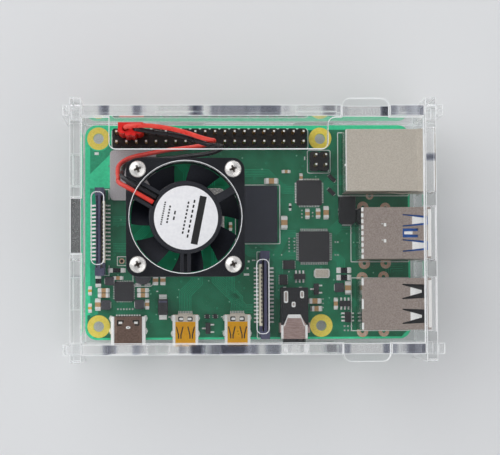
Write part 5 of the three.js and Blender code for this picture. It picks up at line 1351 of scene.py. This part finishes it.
class BOARD_OT_front_sockets(bpy.types.Operator):
    """Finishes the power socket, the two video sockets and the audio jack"""
    bl_idname = "board.front_sockets"
    bl_label = "Front sockets"

    def execute(self, context):
        self.finish_power()
        self.finish_video("hdmi_1")
        self.finish_video("hdmi_2")
        self.finish_audio()
        return {"FINISHED"}

    def ears(self, bm, low, high, places, index=0):
        """Round-topped solder tabs at both sides of a shell."""
        for y in places:
            for side, out in ((low.x, -1), (high.x, 1)):
                strip(bm, [(side - out * 0.1, y, TOP + 1.6), (side + out * 0.12, y, TOP + 1.3),
                           (side + out * 0.2, y, TOP + 0.4),
                           (side + out * 0.25, y, UNDER - 0.4)], (0, 1, 0), 1.5, 0.3, index)
                turned(bm, [(0, TOP), (0.68, TOP), (0.5, TOP + 0.45), (0.25, TOP + 0.7), (0, TOP + 0.75)],
                       16, index,
                       Matrix.Translation((side - out * 0.1, y, 0)))

    def finish_power(self):
        dress("usb_c_shell", "heat_tinted_steel", 0.08)
        dress("usb_c_tongue", "lcp_black", 0.05)
        low, high = box_mm("usb_c_shell")
        middle, face = (low.x + high.x) / 2, high.z
        bm = bmesh.new()
        self.ears(bm, low, high, (FRONT + 2.3, FRONT + 5.6), 1)
        # Bright flanks where the plating wraps down round the sides, painted in bright tin as a painted highlight
        long_middle = (low.y + high.y) / 2
        for side, out in ((low.x, -1), (high.x, 1)):
            strip(bm, [(side - out * 0.88, long_middle, face - 0.02),
                       (side - out * 0.45, long_middle, face - 0.03),
                       (side - out * 0.14, long_middle, face - 0.22),
                       (side + out * 0.01, long_middle, face - 0.7),
                       (side + out * 0.01, long_middle, face - 1.7)], (0, 1, 0), high.y - low.y - 0.06,
                       0.12, 1)
        for side in (-1, 1):
            # Each stop is a C-shaped slot round a bent tab: the slot is painted near black on the lid as painted
            # shade, and the tab's middle is painted bright as a painted highlight
            x, y = middle + side * 2.0, low.y + 5.75
            for dx, dy, w, h in ((0, 0.55, 1.7, 0.32), (side * 0.75, 0.05, 0.34, 1.3),
                                 (side * 0.25, -0.58, 1.15, 0.32),
                                 (-side * 0.68, 0.35, 0.34, 0.6)):
                block(bm, (x + dx - w / 2, y + dy - h / 2, face - 0.1),
                      (x + dx + w / 2, y + dy + h / 2, face + 0.015), 2)
            block(bm, (x - 0.45, y - 0.25, face - 0.1), (x + 0.45, y + 0.3, face + 0.03), 1)
        # The dimple is bright tin with a dot of painted shade at its middle
        dimple = Matrix.Translation((middle, low.y + 4.55, 0)) @ Matrix.Diagonal((1.7, 1, 1, 1))
        turned(bm, [(0, face - 0.1), (0.44, face - 0.1), (0.32, face + 0.05), (0, face + 0.06)], 16, 1,
               dimple)
        turned(bm, [(0, face), (0.13, face), (0.1, face + 0.075), (0, face + 0.08)], 12, 2, dimple)
        for i in range(10):
            x = middle + (i - 4.5) * 0.66
            block(bm, (x - 0.2, high.y + 0.1, TOP + 0.02), (x + 0.2, high.y + 0.5, TOP + 2.2), 1)
        # A near-black plate behind the comb is painted shade between its teeth
        block(bm, (middle - 3.3, high.y - 0.02, TOP + 0.02), (middle + 3.3, high.y + 0.12, TOP + 2.6), 2)
        piece("power_socket_details", bm, ["heat_tinted_steel", "tin_plate_painted_bright", "hole_depth_painted_shade"])

    def finish_video(self, name):
        dress(f"{name}_shell", "amber_gold_plate", 0.08)
        dress(f"{name}_tongue", "lcp_black", 0.05)
        low, high = box_mm(f"{name}_shell")
        middle, face = (low.x + high.x) / 2, high.z
        bm = bmesh.new()
        self.ears(bm, low, high, (FRONT + 1.6, FRONT + 5.6), 1)
        back = high.y
        # The rear of the lid is a plain nickel bridge with two slots, painted near black as painted shade round
        # bright tin tabs
        block(bm, (low.x + 0.6, back - 1.85, face - 0.2), (high.x - 0.6, back + 0.02, face + 0.05), 2)
        block(bm, (middle - 1.9, back, face - 0.9), (middle + 1.9, back + 0.35, face - 0.1), 2)
        for i in range(9):
            x = middle + (i - 4) * 0.42
            block(bm, (x - 0.13, back + 0.3, TOP + 0.02), (x + 0.13, back + 0.95, TOP + 0.3), 1)
        for side in (-1, 1):
            x = middle + side * 1.2
            prism(bm, rounded(x - 0.68, x + 0.68, back - 1.75, back - 0.5, 0.25, 3), face, face + 0.065, 3)
            x -= side * 0.12
            prism(bm, rounded(x - 0.5, x + 0.5, back - 1.45, back - 0.8, 0.15, 3), face, face + 0.08, 1)
            # The sides of the shell are folded up and bright
            edge = high.x if side > 0 else low.x
            block(bm, (edge - 0.35 - side * 0.28, low.y + 0.03, TOP + 0.6),
                  (edge + 0.35 - side * 0.28, back - 0.05, face + 0.055), 1)
            # Y-shaped slots free the two springs of the lid; they and the line at its front are painted near black
            # on the lid as painted shade
            x = middle + side * 1.48
            for lean in (-1, 1):
                prism(bm, [(x + lean * 1.0, back - 3.1), (x + lean * 0.7, back - 3.1),
                           (x + lean * 0.16, back - 5.3),
                           (x + lean * 0.16, back - 6.2), (x + lean * 0.46, back - 6.2),
                           (x + lean * 0.46, back - 5.3)][::lean], face - 0.05, face + 0.05, 3)
            block(bm, (x - 0.6, low.y + 0.1, face - 0.05), (x + 0.6, low.y + 0.25, face + 0.02), 3)
            # A pressed rib stiffens each spring and catches the light
            strip(bm, [(x, back - 2.7, face - 0.08), (x, back - 3.3, face + 0.05),
                       (x, back - 5.0, face + 0.05),
                       (x, back - 5.6, face - 0.08)], (1, 0, 0), 0.3, 0.1, 0)
        piece(f"video_socket_{name[-1]}_lid", bm,
              ["amber_gold_plate", "tin_plate_painted_bright", "nickelled_brass_sheet",
                                                   "hole_depth_painted_shade"], edge=0.03)

    def finish_audio(self):
        dress("audio_jack_body", "lcp_black", 0.15)
        dress("audio_jack_cover", "brushed_kovar", 0.1)
        low, high = box_mm("audio_jack_body")
        face = high.z
        bm = bmesh.new()
        for x, y0, y1, half in ((51.95, 9.4, 12.5, 0.55), (56.1, 10.6, 12.5, 0.5), (53.9, 8.3, 9.7, 0.5)):
            px = LEFT + x
            # Each contact is a strap whose rim is painted bright as a painted highlight and whose middle is
            # painted a darker grey as painted shade
            prism(bm, rounded(px - half, px + half, FRONT + y0, FRONT + y1, 0.35, 4), face - 0.5, face + 0.05)
            prism(bm, rounded(px - half * 0.5, px + half * 0.5, FRONT + y0 + 0.4, FRONT + y1 - 0.3, 0.2, 3),
                  face, face + 0.065, 1)
            if y1 > 10:
                strip(bm, [(px, FRONT + y1 - 0.1, face - 0.1), (px, FRONT + y1 + 0.45, face - 0.6),
                           (px, FRONT + y1 + 0.5, TOP + 0.3), (px, FRONT + y1 + 1.1, TOP + 0.1)], (1, 0, 0),
                           0.8, 0.2)
        # The cover's folded rims are drawn in the bright tin, and the bend at its tip as a block of the cover's
        # kovar
        rim = box_mm("audio_jack_cover")[1].z + 0.03
        block(bm, (LEFT + 52.45, FRONT + 5.5, rim - 0.2), (LEFT + 55.65, FRONT + 6.42, rim))
        block(bm, (LEFT + 50.7, FRONT + 0.15, TOP + 0.4), (LEFT + 57.4, FRONT + 1.6, rim - 0.02), 2)
        for side in (-1, 1):
            x = LEFT + 54.05
            prism(bm, [(x + side * 1.45, FRONT + 6.3), (x + side * 1.72, FRONT + 6.2),
                       (x + side * 2.75, FRONT + 3.5),
                       (x + side * 2.5, FRONT + 3.4)][::side], rim - 0.2, rim)
            block(bm, (x + side * 3.12 - 0.3, FRONT + 0.2, rim - 0.2),
                  (x + side * 3.12 + 0.3, FRONT + 3.7, rim))
        piece("audio_jack_contacts", bm, ["tin_plate_painted_bright", "tinned_steel_sheet", "brushed_kovar"],
              edge=0.05)


# The ribbon connectors

RIBBON_CONTACTS = 15
# Half the length of the cream part of a housing
CREAM_HALF = 8.0


class BOARD_OT_ribbon(bpy.types.Operator):
    """Makes the housings and leads of both ribbon connectors and finishes their latches"""
    bl_idname = "board.ribbon"
    bl_label = "Ribbon connectors"

    def execute(self, context):
        for name, centre, turn in (("display", (4, 28), 0), ("camera", (46.5, 11.5), 180)):
            place = Matrix.Translation((*on_board(*centre), 0)) @ Matrix.Rotation(math.radians(turn), 4, "Z")
            self.make_housing(name, place)
            dress(f"{name}_latch", "lcp_slate", 0.12)
        return {"FINISHED"}

    def make_housing(self, name, place):
        top = TOP + 4.9
        bm = bmesh.new()
        block(bm, (-0.84, -CREAM_HALF, TOP + 0.15), (1.3, CREAM_HALF, top - 0.05))
        pocket = ((-2, -10, TOP + 1.2), (0.55, 10, top + 1))
        tools = [box_tool(*pocket)]
        for i in range(RIBBON_CONTACTS):
            # The comb between the contacts is open towards the pocket
            y = i - (RIBBON_CONTACTS - 1) / 2
            tools.append(box_tool((0.4, y - 0.27, TOP + 1.5), (0.92, y + 0.27, top + 1)))
        bm = carved(bm, *tools)
        # The ends and the rim beside the latch are moulded in the latch's slate polymer
        slate = bmesh.new()
        block(slate, (-1.06, -CREAM_HALF, TOP + 0.15), (-0.86, CREAM_HALF, top - 0.04), 1)
        for end in (-1, 1):
            block(slate, (-1.2, end * 9.5 - 1.48, TOP + 0.1), (1.3, end * 9.5 + 1.48, top - 0.03), 1)
        add_mesh(bm, carved(slate, box_tool((-0.84, -10, TOP + 1.2), (0.55, 10, top + 1))))
        for i in range(RIBBON_CONTACTS):
            y = i - (RIBBON_CONTACTS - 1) / 2
            for side, inner, width in ((-1, 1.0, 0.5), (1, 1.25, 0.4)):
                strip(bm, [(side * inner, y, TOP + 0.95), (side * 1.6, y, TOP + 0.9),
                           (side * 1.85, y, TOP + 0.2),
                           (side * 2.6, y, TOP + 0.14)], (0, 1, 0), width, 0.2, 2)
            # Contact springs stand in the pocket beside the comb
            strip(bm, [(0.62, y, TOP + 1.3), (0.5, y, TOP + 3.0), (0.42, y, TOP + 4.0), (0.6, y, top - 0.5)],
                  (0, 1, 0), 0.3, 0.12, 2)
        moved(bm.verts, place)
        piece(f"{name}_ribbon_housing", bm, ["lcp_cream", "lcp_slate", "tin_plate_painted_bright"],
              stands_for=[f"{name}_connector"], edge=0.05)


# The chips and the other soldered parts

def chip_leads(bm, centre, body, count, pitch, reach, height, index):
    """Formed leads along all four sides of a square chip."""
    for turn in range(4):
        place = Matrix.Translation((*on_board(*centre), 0)) @ Matrix.Rotation(math.radians(90 * turn), 4, "Z")
        for i in range(count):
            y = (i - (count - 1) / 2) * pitch
            verts = strip(bm, [(body / 2 - 0.1, y, TOP + height),
                               (body / 2 + reach * 0.35, y, TOP + height - 0.03),
                               (body / 2 + reach * 0.6, y, TOP + 0.12), (body / 2 + reach, y, TOP + 0.09)],
                          (0, 1, 0), pitch * 0.55, 0.1, index)
            moved(verts, place)


def two_ended(bm, part, height, body_index, end_index, cap=0.27):
    """A small part whose two ends are plated."""
    x, y, length, width, turn = part
    place = Matrix.Translation((*on_board(x, y), 0)) @ Matrix.Rotation(math.radians(turn), 4, "Z")
    verts = block(bm, (-length / 2 + 0.1, -width / 2, TOP + 0.05),
                  (length / 2 - 0.1, width / 2, TOP + height), body_index)
    moved(verts, place)
    for end in (-1, 1):
        inner = end * (length / 2 - length * cap)
        outer = end * length / 2
        verts = block(bm, (min(inner, outer), -width / 2 - 0.04, TOP + 0.03),
                      (max(inner, outer), width / 2 + 0.04, TOP + height + 0.04), end_index)
        # The solder fillet runs out over the pad
        verts += strip(bm, [(outer - end * 0.05, 0, TOP + height * 0.5),
                            (outer + end * 0.12, 0, TOP + height * 0.2),
                            (outer + end * 0.35, 0, TOP + 0.06)], (0, 1, 0), width, 0.1, end_index)
        moved(verts, place)


# Place, length, width and turn of the small parts, from the board's corner
CAPACITORS = [
    (3.3, 9.2, 2.5, 1.4, 90), (16.1, 9.2, 1.9, 1.0, 90), (4.8, 12.9, 2.4, 1.1, 0), (4.8, 11.6, 2.4, 1.1, 0),
    (15.0, 12.9, 2.4, 1.1, 0), (15.0, 11.6, 2.4, 1.1, 0), (18.3, 15.5, 1.9, 1.3, 90),
    (20.2, 15.5, 1.9, 1.3, 90),
    (8.5, 16.1, 2.1, 0.9, 0), (48.6, 41.3, 3.0, 1.4, 0), (51.9, 30.4, 2.9, 1.6, 90),
    (58.0, 32.7, 2.0, 1.1, 90),
    (60.8, 32.8, 2.0, 1.1, 90), (62.9, 33.0, 2.8, 1.3, 90), (59.8, 9.9, 2.9, 1.3, 0),
    (60.2, 7.9, 2.4, 1.3, 0),
    (68.5, 13.3, 2.8, 1.5, 90), (65.3, 9.2, 2.4, 1.0, 90), (52.5, 43.8, 1.6, 0.8, 0),
    (56.4, 42.2, 1.6, 0.8, 90),
    (22.5, 40.8, 1.6, 0.8, 0), (37.9, 29.5, 1.6, 0.8, 90), (37.9, 34.5, 1.6, 0.8, 90),
    (20.4, 30.2, 1.6, 0.8, 90),
]
RESISTORS = [
    (3.4, 15.3, 2.5, 1.4, 90), (8.2, 18.1, 3.9, 1.1, 0), (67.5, 17.9, 3.2, 1.4, 0), (67.5, 16.0, 3.2, 1.4, 0),
    (53.5, 34.5, 1.2, 0.6, 90), (66.4, 33.2, 1.2, 0.6, 90), (28.5, 46.8, 1.6, 0.8, 0),
    (33.2, 46.8, 1.6, 0.8, 0),
]
INDUCTORS = [(5.4, 9.1, 2.4, 2.5, 0), (14.1, 9.2, 2.4, 2.4, 0), (66.2, 13.4, 2.4, 2.4, 0),
             (6.3, 15.3, 2.3, 2.2, 0)]
STATUS_LAMPS = [(1.25, 12.8, 1.7, 0.9, 90), (1.25, 8.3, 1.7, 0.9, 90)]
# Leaded chips: place, length, width, leads on each long side, turn
SMALL_CHIPS = [(55.9, 16.3, 2.9, 1.5, 3, 0), (67.7, 9.2, 2.9, 1.5, 3, 0), (68.4, 5.7, 2.7, 1.6, 3, 90)]
LEADLESS_CHIPS = [(53.1, 19.4, 3.0, 2.3, 0), (51.6, 15.5, 2.0, 2.7, 0), (64.5, 42.0, 2.2, 1.0, -45),
                  (64.3, 38.5, 2.2, 1.0, -45),
                  (31.7, 6.0, 1.0, 1.2, 0), (33.8, 6.0, 1.0, 1.2, 0)]
TRANSISTORS = [(31.9, 2.9, 90), (60.2, 13.0, 90)]
# Rows of bare test pads: first place, step, count and pad size
TEST_PADS = [
    ((53.2, 22.9), (0, 0.85), 5, 0.34), ((54.6, 22.9), (0, 0.85), 5, 0.34), ((8.5, 8.0), (0.76, 0), 6, 0.4),
    ((67.6, 2.2), (0.9, 0), 3, 0.42), ((67.6, 3.3), (0.9, 0), 3, 0.42), ((62.0, 10.4), (0, -1.1), 3, 0.3),
    ((65.3, 25.3), (0.7, 0), 2, 0.35), ((65.3, 21.9), (0.7, 0), 2, 0.35), ((69.5, 31.0), (0, -1.1), 4, 0.35),
    ((56.6, 33.6), (0, -0.9), 3, 0.35), ((59.4, 33.0), (0, -0.9), 2, 0.35), ((19.8, 38.2), (0.9, 0), 4, 0.35),
]


class BOARD_OT_chips(bpy.types.Operator):
    """Finishes the chips, the shields and the power parts, and makes the small parts"""
    bl_idname = "board.chips"
    bl_label = "Chips and small parts"

    def execute(self, context):
        for node, name, edge in (
            ("soc_package", "solder_mask_on_copper", 0.05), ("soc_lid", "nickel_plated_steel", 0.2),
            ("ram_chip", "epoxy_compound_blue", 0.05), ("usb_controller", "epoxy_compound", 0.15),
            ("ethernet_phy", "epoxy_compound", 0.1), ("power_chip", "epoxy_compound", 0.08),
            ("wifi_shield", "nickel_silver_can", 0.15), ("power_inductor", "sintered_ferrite", 0.1),
            ("bulk_capacitor", "lcp_black", 0.15), ("crystal", "nickelled_brass_sheet", 0.12),
        ):
            dress(node, name, edge)
        self.make_leads()
        self.make_diode()
        self.make_small_parts()
        self.make_small_chips()
        return {"FINISHED"}

    def make_leads(self):
        bm = bmesh.new()
        chip_leads(bm, (59.7, 24.1), 8.0, 16, 0.45, 0.7, 0.5, 0)
        chip_leads(bm, (58.5, 38.2), 6.6, 13, 0.42, 0.45, 0.2, 0)
        chip_leads(bm, (10.1, 12.6), 5.0, 9, 0.45, 0.3, 0.15, 0)
        for side in (-1, 1):
            # Wide tin-plated tabs of the drum inductor and the bulk capacitor
            standing(bm, (15 + side * 1.2, 14.4), (1.5, 0.8), TOP, TOP + 0.3)
            standing(bm, (68.3, 33.5 + side * 3.75), (2.4, 0.5), TOP, TOP + 0.9)
        # The round pad's hole is painted near black as the shade inside it
        x, y = on_board(9.5, 20.5)
        prism(bm, circle(x, y, 0.75, 20), TOP, TOP + 0.06, 2, [circle(x, y, 0.42, 16)])
        prism(bm, circle(x, y, 0.42, 16), TOP, TOP + 0.045, 3)
        for row, step, count, size in TEST_PADS:
            for i in range(count):
                standing(bm, (row[0] + step[0] * i, row[1] + step[1] * i), (size, size), TOP, TOP + 0.08)
        for x in (21.4, 20.2, 23.0):
            standing(bm, (x, 47.3), (0.35, 0.35), TOP, TOP + 0.08)
        piece("chip_leads_and_pads", bm, ["reflowed_solder", "pad_metal_pale", "fluxed_copper",
                                              "hole_depth_painted_shade"])

    def make_diode(self):
        low, high = box_mm("input_diode")
        x, y = (low.x + high.x) / 2, (low.y + high.y) / 2
        bm = bmesh.new()
        outline = rounded(x - 1.3, x + 1.3, y - 2.1, y + 2.1, 0.15, 3)
        lower = prism(bm, outline, TOP + 0.1, TOP + 1.1)
        upper = prism(bm, outline, TOP + 1.1, high.z)
        # The moulding draws in above and below its parting line
        for verts, rim in ((upper[len(outline):], 0.9), (lower[:len(outline)], 0.9)):
            for vert in verts:
                vert.co.x = x + (vert.co.x - x) * rim
                vert.co.y = y + (vert.co.y - y) * 0.95
        block(bm, (x - 1.1, y + 1.15, high.z - 0.05), (x + 1.1, y + 1.6, high.z + 0.012), 2)
        for end in (-1, 1):
            strip(bm, [(x, y + end * 1.9, TOP + 1.1), (x, y + end * 2.35, TOP + 1.05),
                       (x, y + end * 2.5, TOP + 0.2),
                       (x, y + end * 3.25, TOP + 0.15)], (1, 0, 0), 2.0, 0.25, 1)
        piece("input_diode_moulding", bm, ["epoxy_compound", "tin_plate_painted_bright", "lcp_slate"],
              stands_for=["input_diode"], edge=0.08)

    def make_small_parts(self):
        bm = bmesh.new()
        for part in CAPACITORS:
            two_ended(bm, part, min(1.2, part[3] * 0.8), 0, 1)
        piece("ceramic_capacitors", bm, ["capacitor_ceramic", "tin_plate_painted_bright"], edge=0.07)
        bm = bmesh.new()
        for part in RESISTORS:
            two_ended(bm, part, 0.5, 0, 1, 0.24)
        for part in STATUS_LAMPS:
            two_ended(bm, part, 0.6, 2, 1, 0.3)
        piece("resistors_and_lamps", bm, ["resistor_glaze", "tin_plate_painted_bright", "light_pipe_amber"],
              edge=0.05)
        bm = bmesh.new()
        for x, y, length, width, _ in INDUCTORS:
            px, py = on_board(x, y)
            prism(bm, rounded(px - length / 2, px + length / 2, py - width / 2, py + width / 2, 0.25, 3),
                  TOP + 0.1, TOP + 1.2)
            for side in (-1, 1):
                standing(bm, (x + side * (length / 2 - 0.1), y), (0.45, width - 0.8), TOP, TOP + 0.7, 1)
        piece("cube_inductors", bm, ["sintered_ferrite", "tin_plate_painted_bright"], edge=0.1)

    def make_small_chips(self):
        bm = bmesh.new()
        for x, y, length, width, turn in LEADLESS_CHIPS:
            place = Matrix.Translation((*on_board(x, y), 0)) @ Matrix.Rotation(math.radians(turn), 4, "Z")
            verts = block(bm, (-length / 2, -width / 2, TOP + 0.03), (length / 2, width / 2, TOP + 0.75))
            count = max(2, int(width / 0.45))
            for side in (-1, 1):
                for i in range(count):
                    dy = (i - (count - 1) / 2) * 0.42
                    verts += block(bm, (side * length / 2 - 0.22, dy - 0.11, TOP + 0.01),
                                   (side * length / 2 + 0.22, dy + 0.11, TOP + 0.12), 1)
            moved(verts, place)
        for x, y, length, width, leads, turn in SMALL_CHIPS:
            place = Matrix.Translation((*on_board(x, y), 0)) @ Matrix.Rotation(math.radians(turn), 4, "Z")
            verts = block(bm, (-length / 2, -width / 2, TOP + 0.1), (length / 2, width / 2, TOP + 1.0))
            for i in range(leads):
                dx = (i - (leads - 1) / 2) * 0.95
                for side in (-1, 1):
                    verts += strip(bm, [(dx, side * (width / 2 - 0.1), TOP + 0.5),
                                        (dx, side * (width / 2 + 0.2), TOP + 0.45),
                                        (dx, side * (width / 2 + 0.35), TOP + 0.1),
                                        (dx, side * (width / 2 + 0.85), TOP + 0.08)],
                                   (1, 0, 0), 0.45, 0.15, 1)
            moved(verts, place)
        for x, y, turn in TRANSISTORS:
            place = Matrix.Translation((*on_board(x, y), 0)) @ Matrix.Rotation(math.radians(turn), 4, "Z")
            verts = block(bm, (-1.45, -0.65, TOP + 0.1), (1.45, 0.65, TOP + 1.0))
            for dx, side in ((-0.95, -1), (0.95, -1), (0, 1)):
                verts += strip(bm, [(dx, side * 0.55, TOP + 0.5), (dx, side * 0.85, TOP + 0.45),
                                    (dx, side * 1.0, TOP + 0.1),
                                    (dx, side * 1.6, TOP + 0.08)], (1, 0, 0), 0.42, 0.15, 1)
            moved(verts, place)
        # The crystal's lid is seam-welded to a bright rim, and its pads stand out at both ends
        low, high = box_mm("crystal")
        for x in (low.x, high.x):
            block(bm, (x - 0.09, low.y + 0.05, high.z - 0.1), (x + 0.09, high.y - 0.05, high.z + 0.03), 1)
            block(bm, (x - 0.3, low.y + 0.3, TOP + 0.02), (x + 0.3, high.y - 0.3, TOP + 0.25), 1)
        for y in (low.y, high.y):
            block(bm, (low.x + 0.05, y - 0.09, high.z - 0.1), (high.x - 0.05, y + 0.09, high.z + 0.03), 1)
        piece("small_chips", bm, ["epoxy_compound", "tin_plate_painted_bright"], edge=0.06)


# The underside

def solder_cone(bm, x, y, radius, depth):
    """A solder joint that hangs below the board round a lead."""
    turned(bm, [(0, UNDER), (radius, UNDER), (radius * 0.62, UNDER - depth * 0.35),
                (radius * 0.42, UNDER - depth),
                (0, UNDER - depth * 1.12)], 12, place=Matrix.Translation((x, y, 0)))


class BOARD_OT_underside(bpy.types.Operator):
    """Makes the solder joints, the parts below and the card socket's details"""
    bl_idname = "board.underside"
    bl_label = "Underside"

    def execute(self, context):
        bm = bmesh.new()
        for x, y in HEADER_PINS + POWER_PINS:
            solder_cone(bm, *on_board(x, y), 0.8, 0.9)
        for x, y, radius in SHELL_TABS:
            solder_cone(bm, *on_board(x, y), radius * 0.8, 0.8)
        for row, y in ((67.6, 39.5), (70.2, 39.5)):
            for i in range(6):
                solder_cone(bm, *on_board(row, y + i * 2.3), 0.65, 0.9)
        for y in (27, 9):
            for i in range(4):
                for x in (74.5, 77.0):
                    solder_cone(bm, *on_board(x, y + (i - 1.5) * 2.5), 0.6, 0.9)
        piece("solder_joints", bm, ["reflowed_solder"], crease=60)
        dress("sd_card_socket", "tinned_steel_sheet", 0.08)
        low, high = box_mm("sd_card_socket")
        middle = (low.y + high.y) / 2
        bm = bmesh.new()
        for i in range(8):
            y = middle + (i - 3.5) * 1.1
            strip(bm, [(low.x + 9.5, y, high.z - 0.35), (low.x + 6.2, y, high.z - 0.4),
                       (low.x + 5.6, y, high.z - 0.75)],
                  (0, 1, 0), 0.5, 0.12)
        for side, out in ((low.y, -1), (high.y, 1)):
            for x in (low.x + 1.8, high.x - 1.8):
                strip(bm, [(x, side - out * 0.1, high.z - 0.6), (x, side + out * 0.3, high.z - 0.5),
                           (x, side + out * 0.9, high.z - 0.1)], (1, 0, 0), 1.4, 0.2, 1)
        piece("card_socket_details", bm, ["flash_gold_plate", "tin_plate_painted_bright"])
        return {"FINISHED"}


# The panel

OPERATORS = (BOARD_OT_stage, BOARD_OT_fan_lead, BOARD_OT_case, BOARD_OT_fan, BOARD_OT_circuit,
             BOARD_OT_headers,
             BOARD_OT_usb, BOARD_OT_network, BOARD_OT_front_sockets, BOARD_OT_ribbon, BOARD_OT_chips,
             BOARD_OT_underside)
GROUPS = {"board_stage": BoardStage, "board_case": BoardCase, "board_fan": BoardFan,
          "board_wires": BoardWires,
          "board_circuit": BoardCircuit}


class BOARD_PT_panel(bpy.types.Panel):
    """Lists the makers and the sizes and colours that they use"""
    bl_idname = "BOARD_PT_panel"
    bl_label = "Cased board"
    bl_space_type = "VIEW_3D"
    bl_region_type = "UI"
    bl_category = "Board"

    def draw(self, context):
        for name, group in GROUPS.items():
            box = self.layout.box()
            for field in group.__annotations__:
                box.prop(getattr(context.scene, name), field)
        for operator in OPERATORS:
            self.layout.operator(operator.bl_idname)


def register():
    for each in (*GROUPS.values(), *OPERATORS, BOARD_PT_panel):
        bpy.utils.register_class(each)
    for name, group in GROUPS.items():
        setattr(bpy.types.Scene, name, PointerProperty(type=group))


def unregister():
    for name in GROUPS:
        delattr(bpy.types.Scene, name)
    for each in (BOARD_PT_panel, *OPERATORS[::-1], *GROUPS.values()):
        bpy.utils.unregister_class(each)


def main():
    register()
    for operator in OPERATORS:
        family, action = operator.bl_idname.split(".")
        getattr(getattr(bpy.ops, family), action)()
    bpy.context.view_layer.update()


if __name__ == "__main__":
    main()
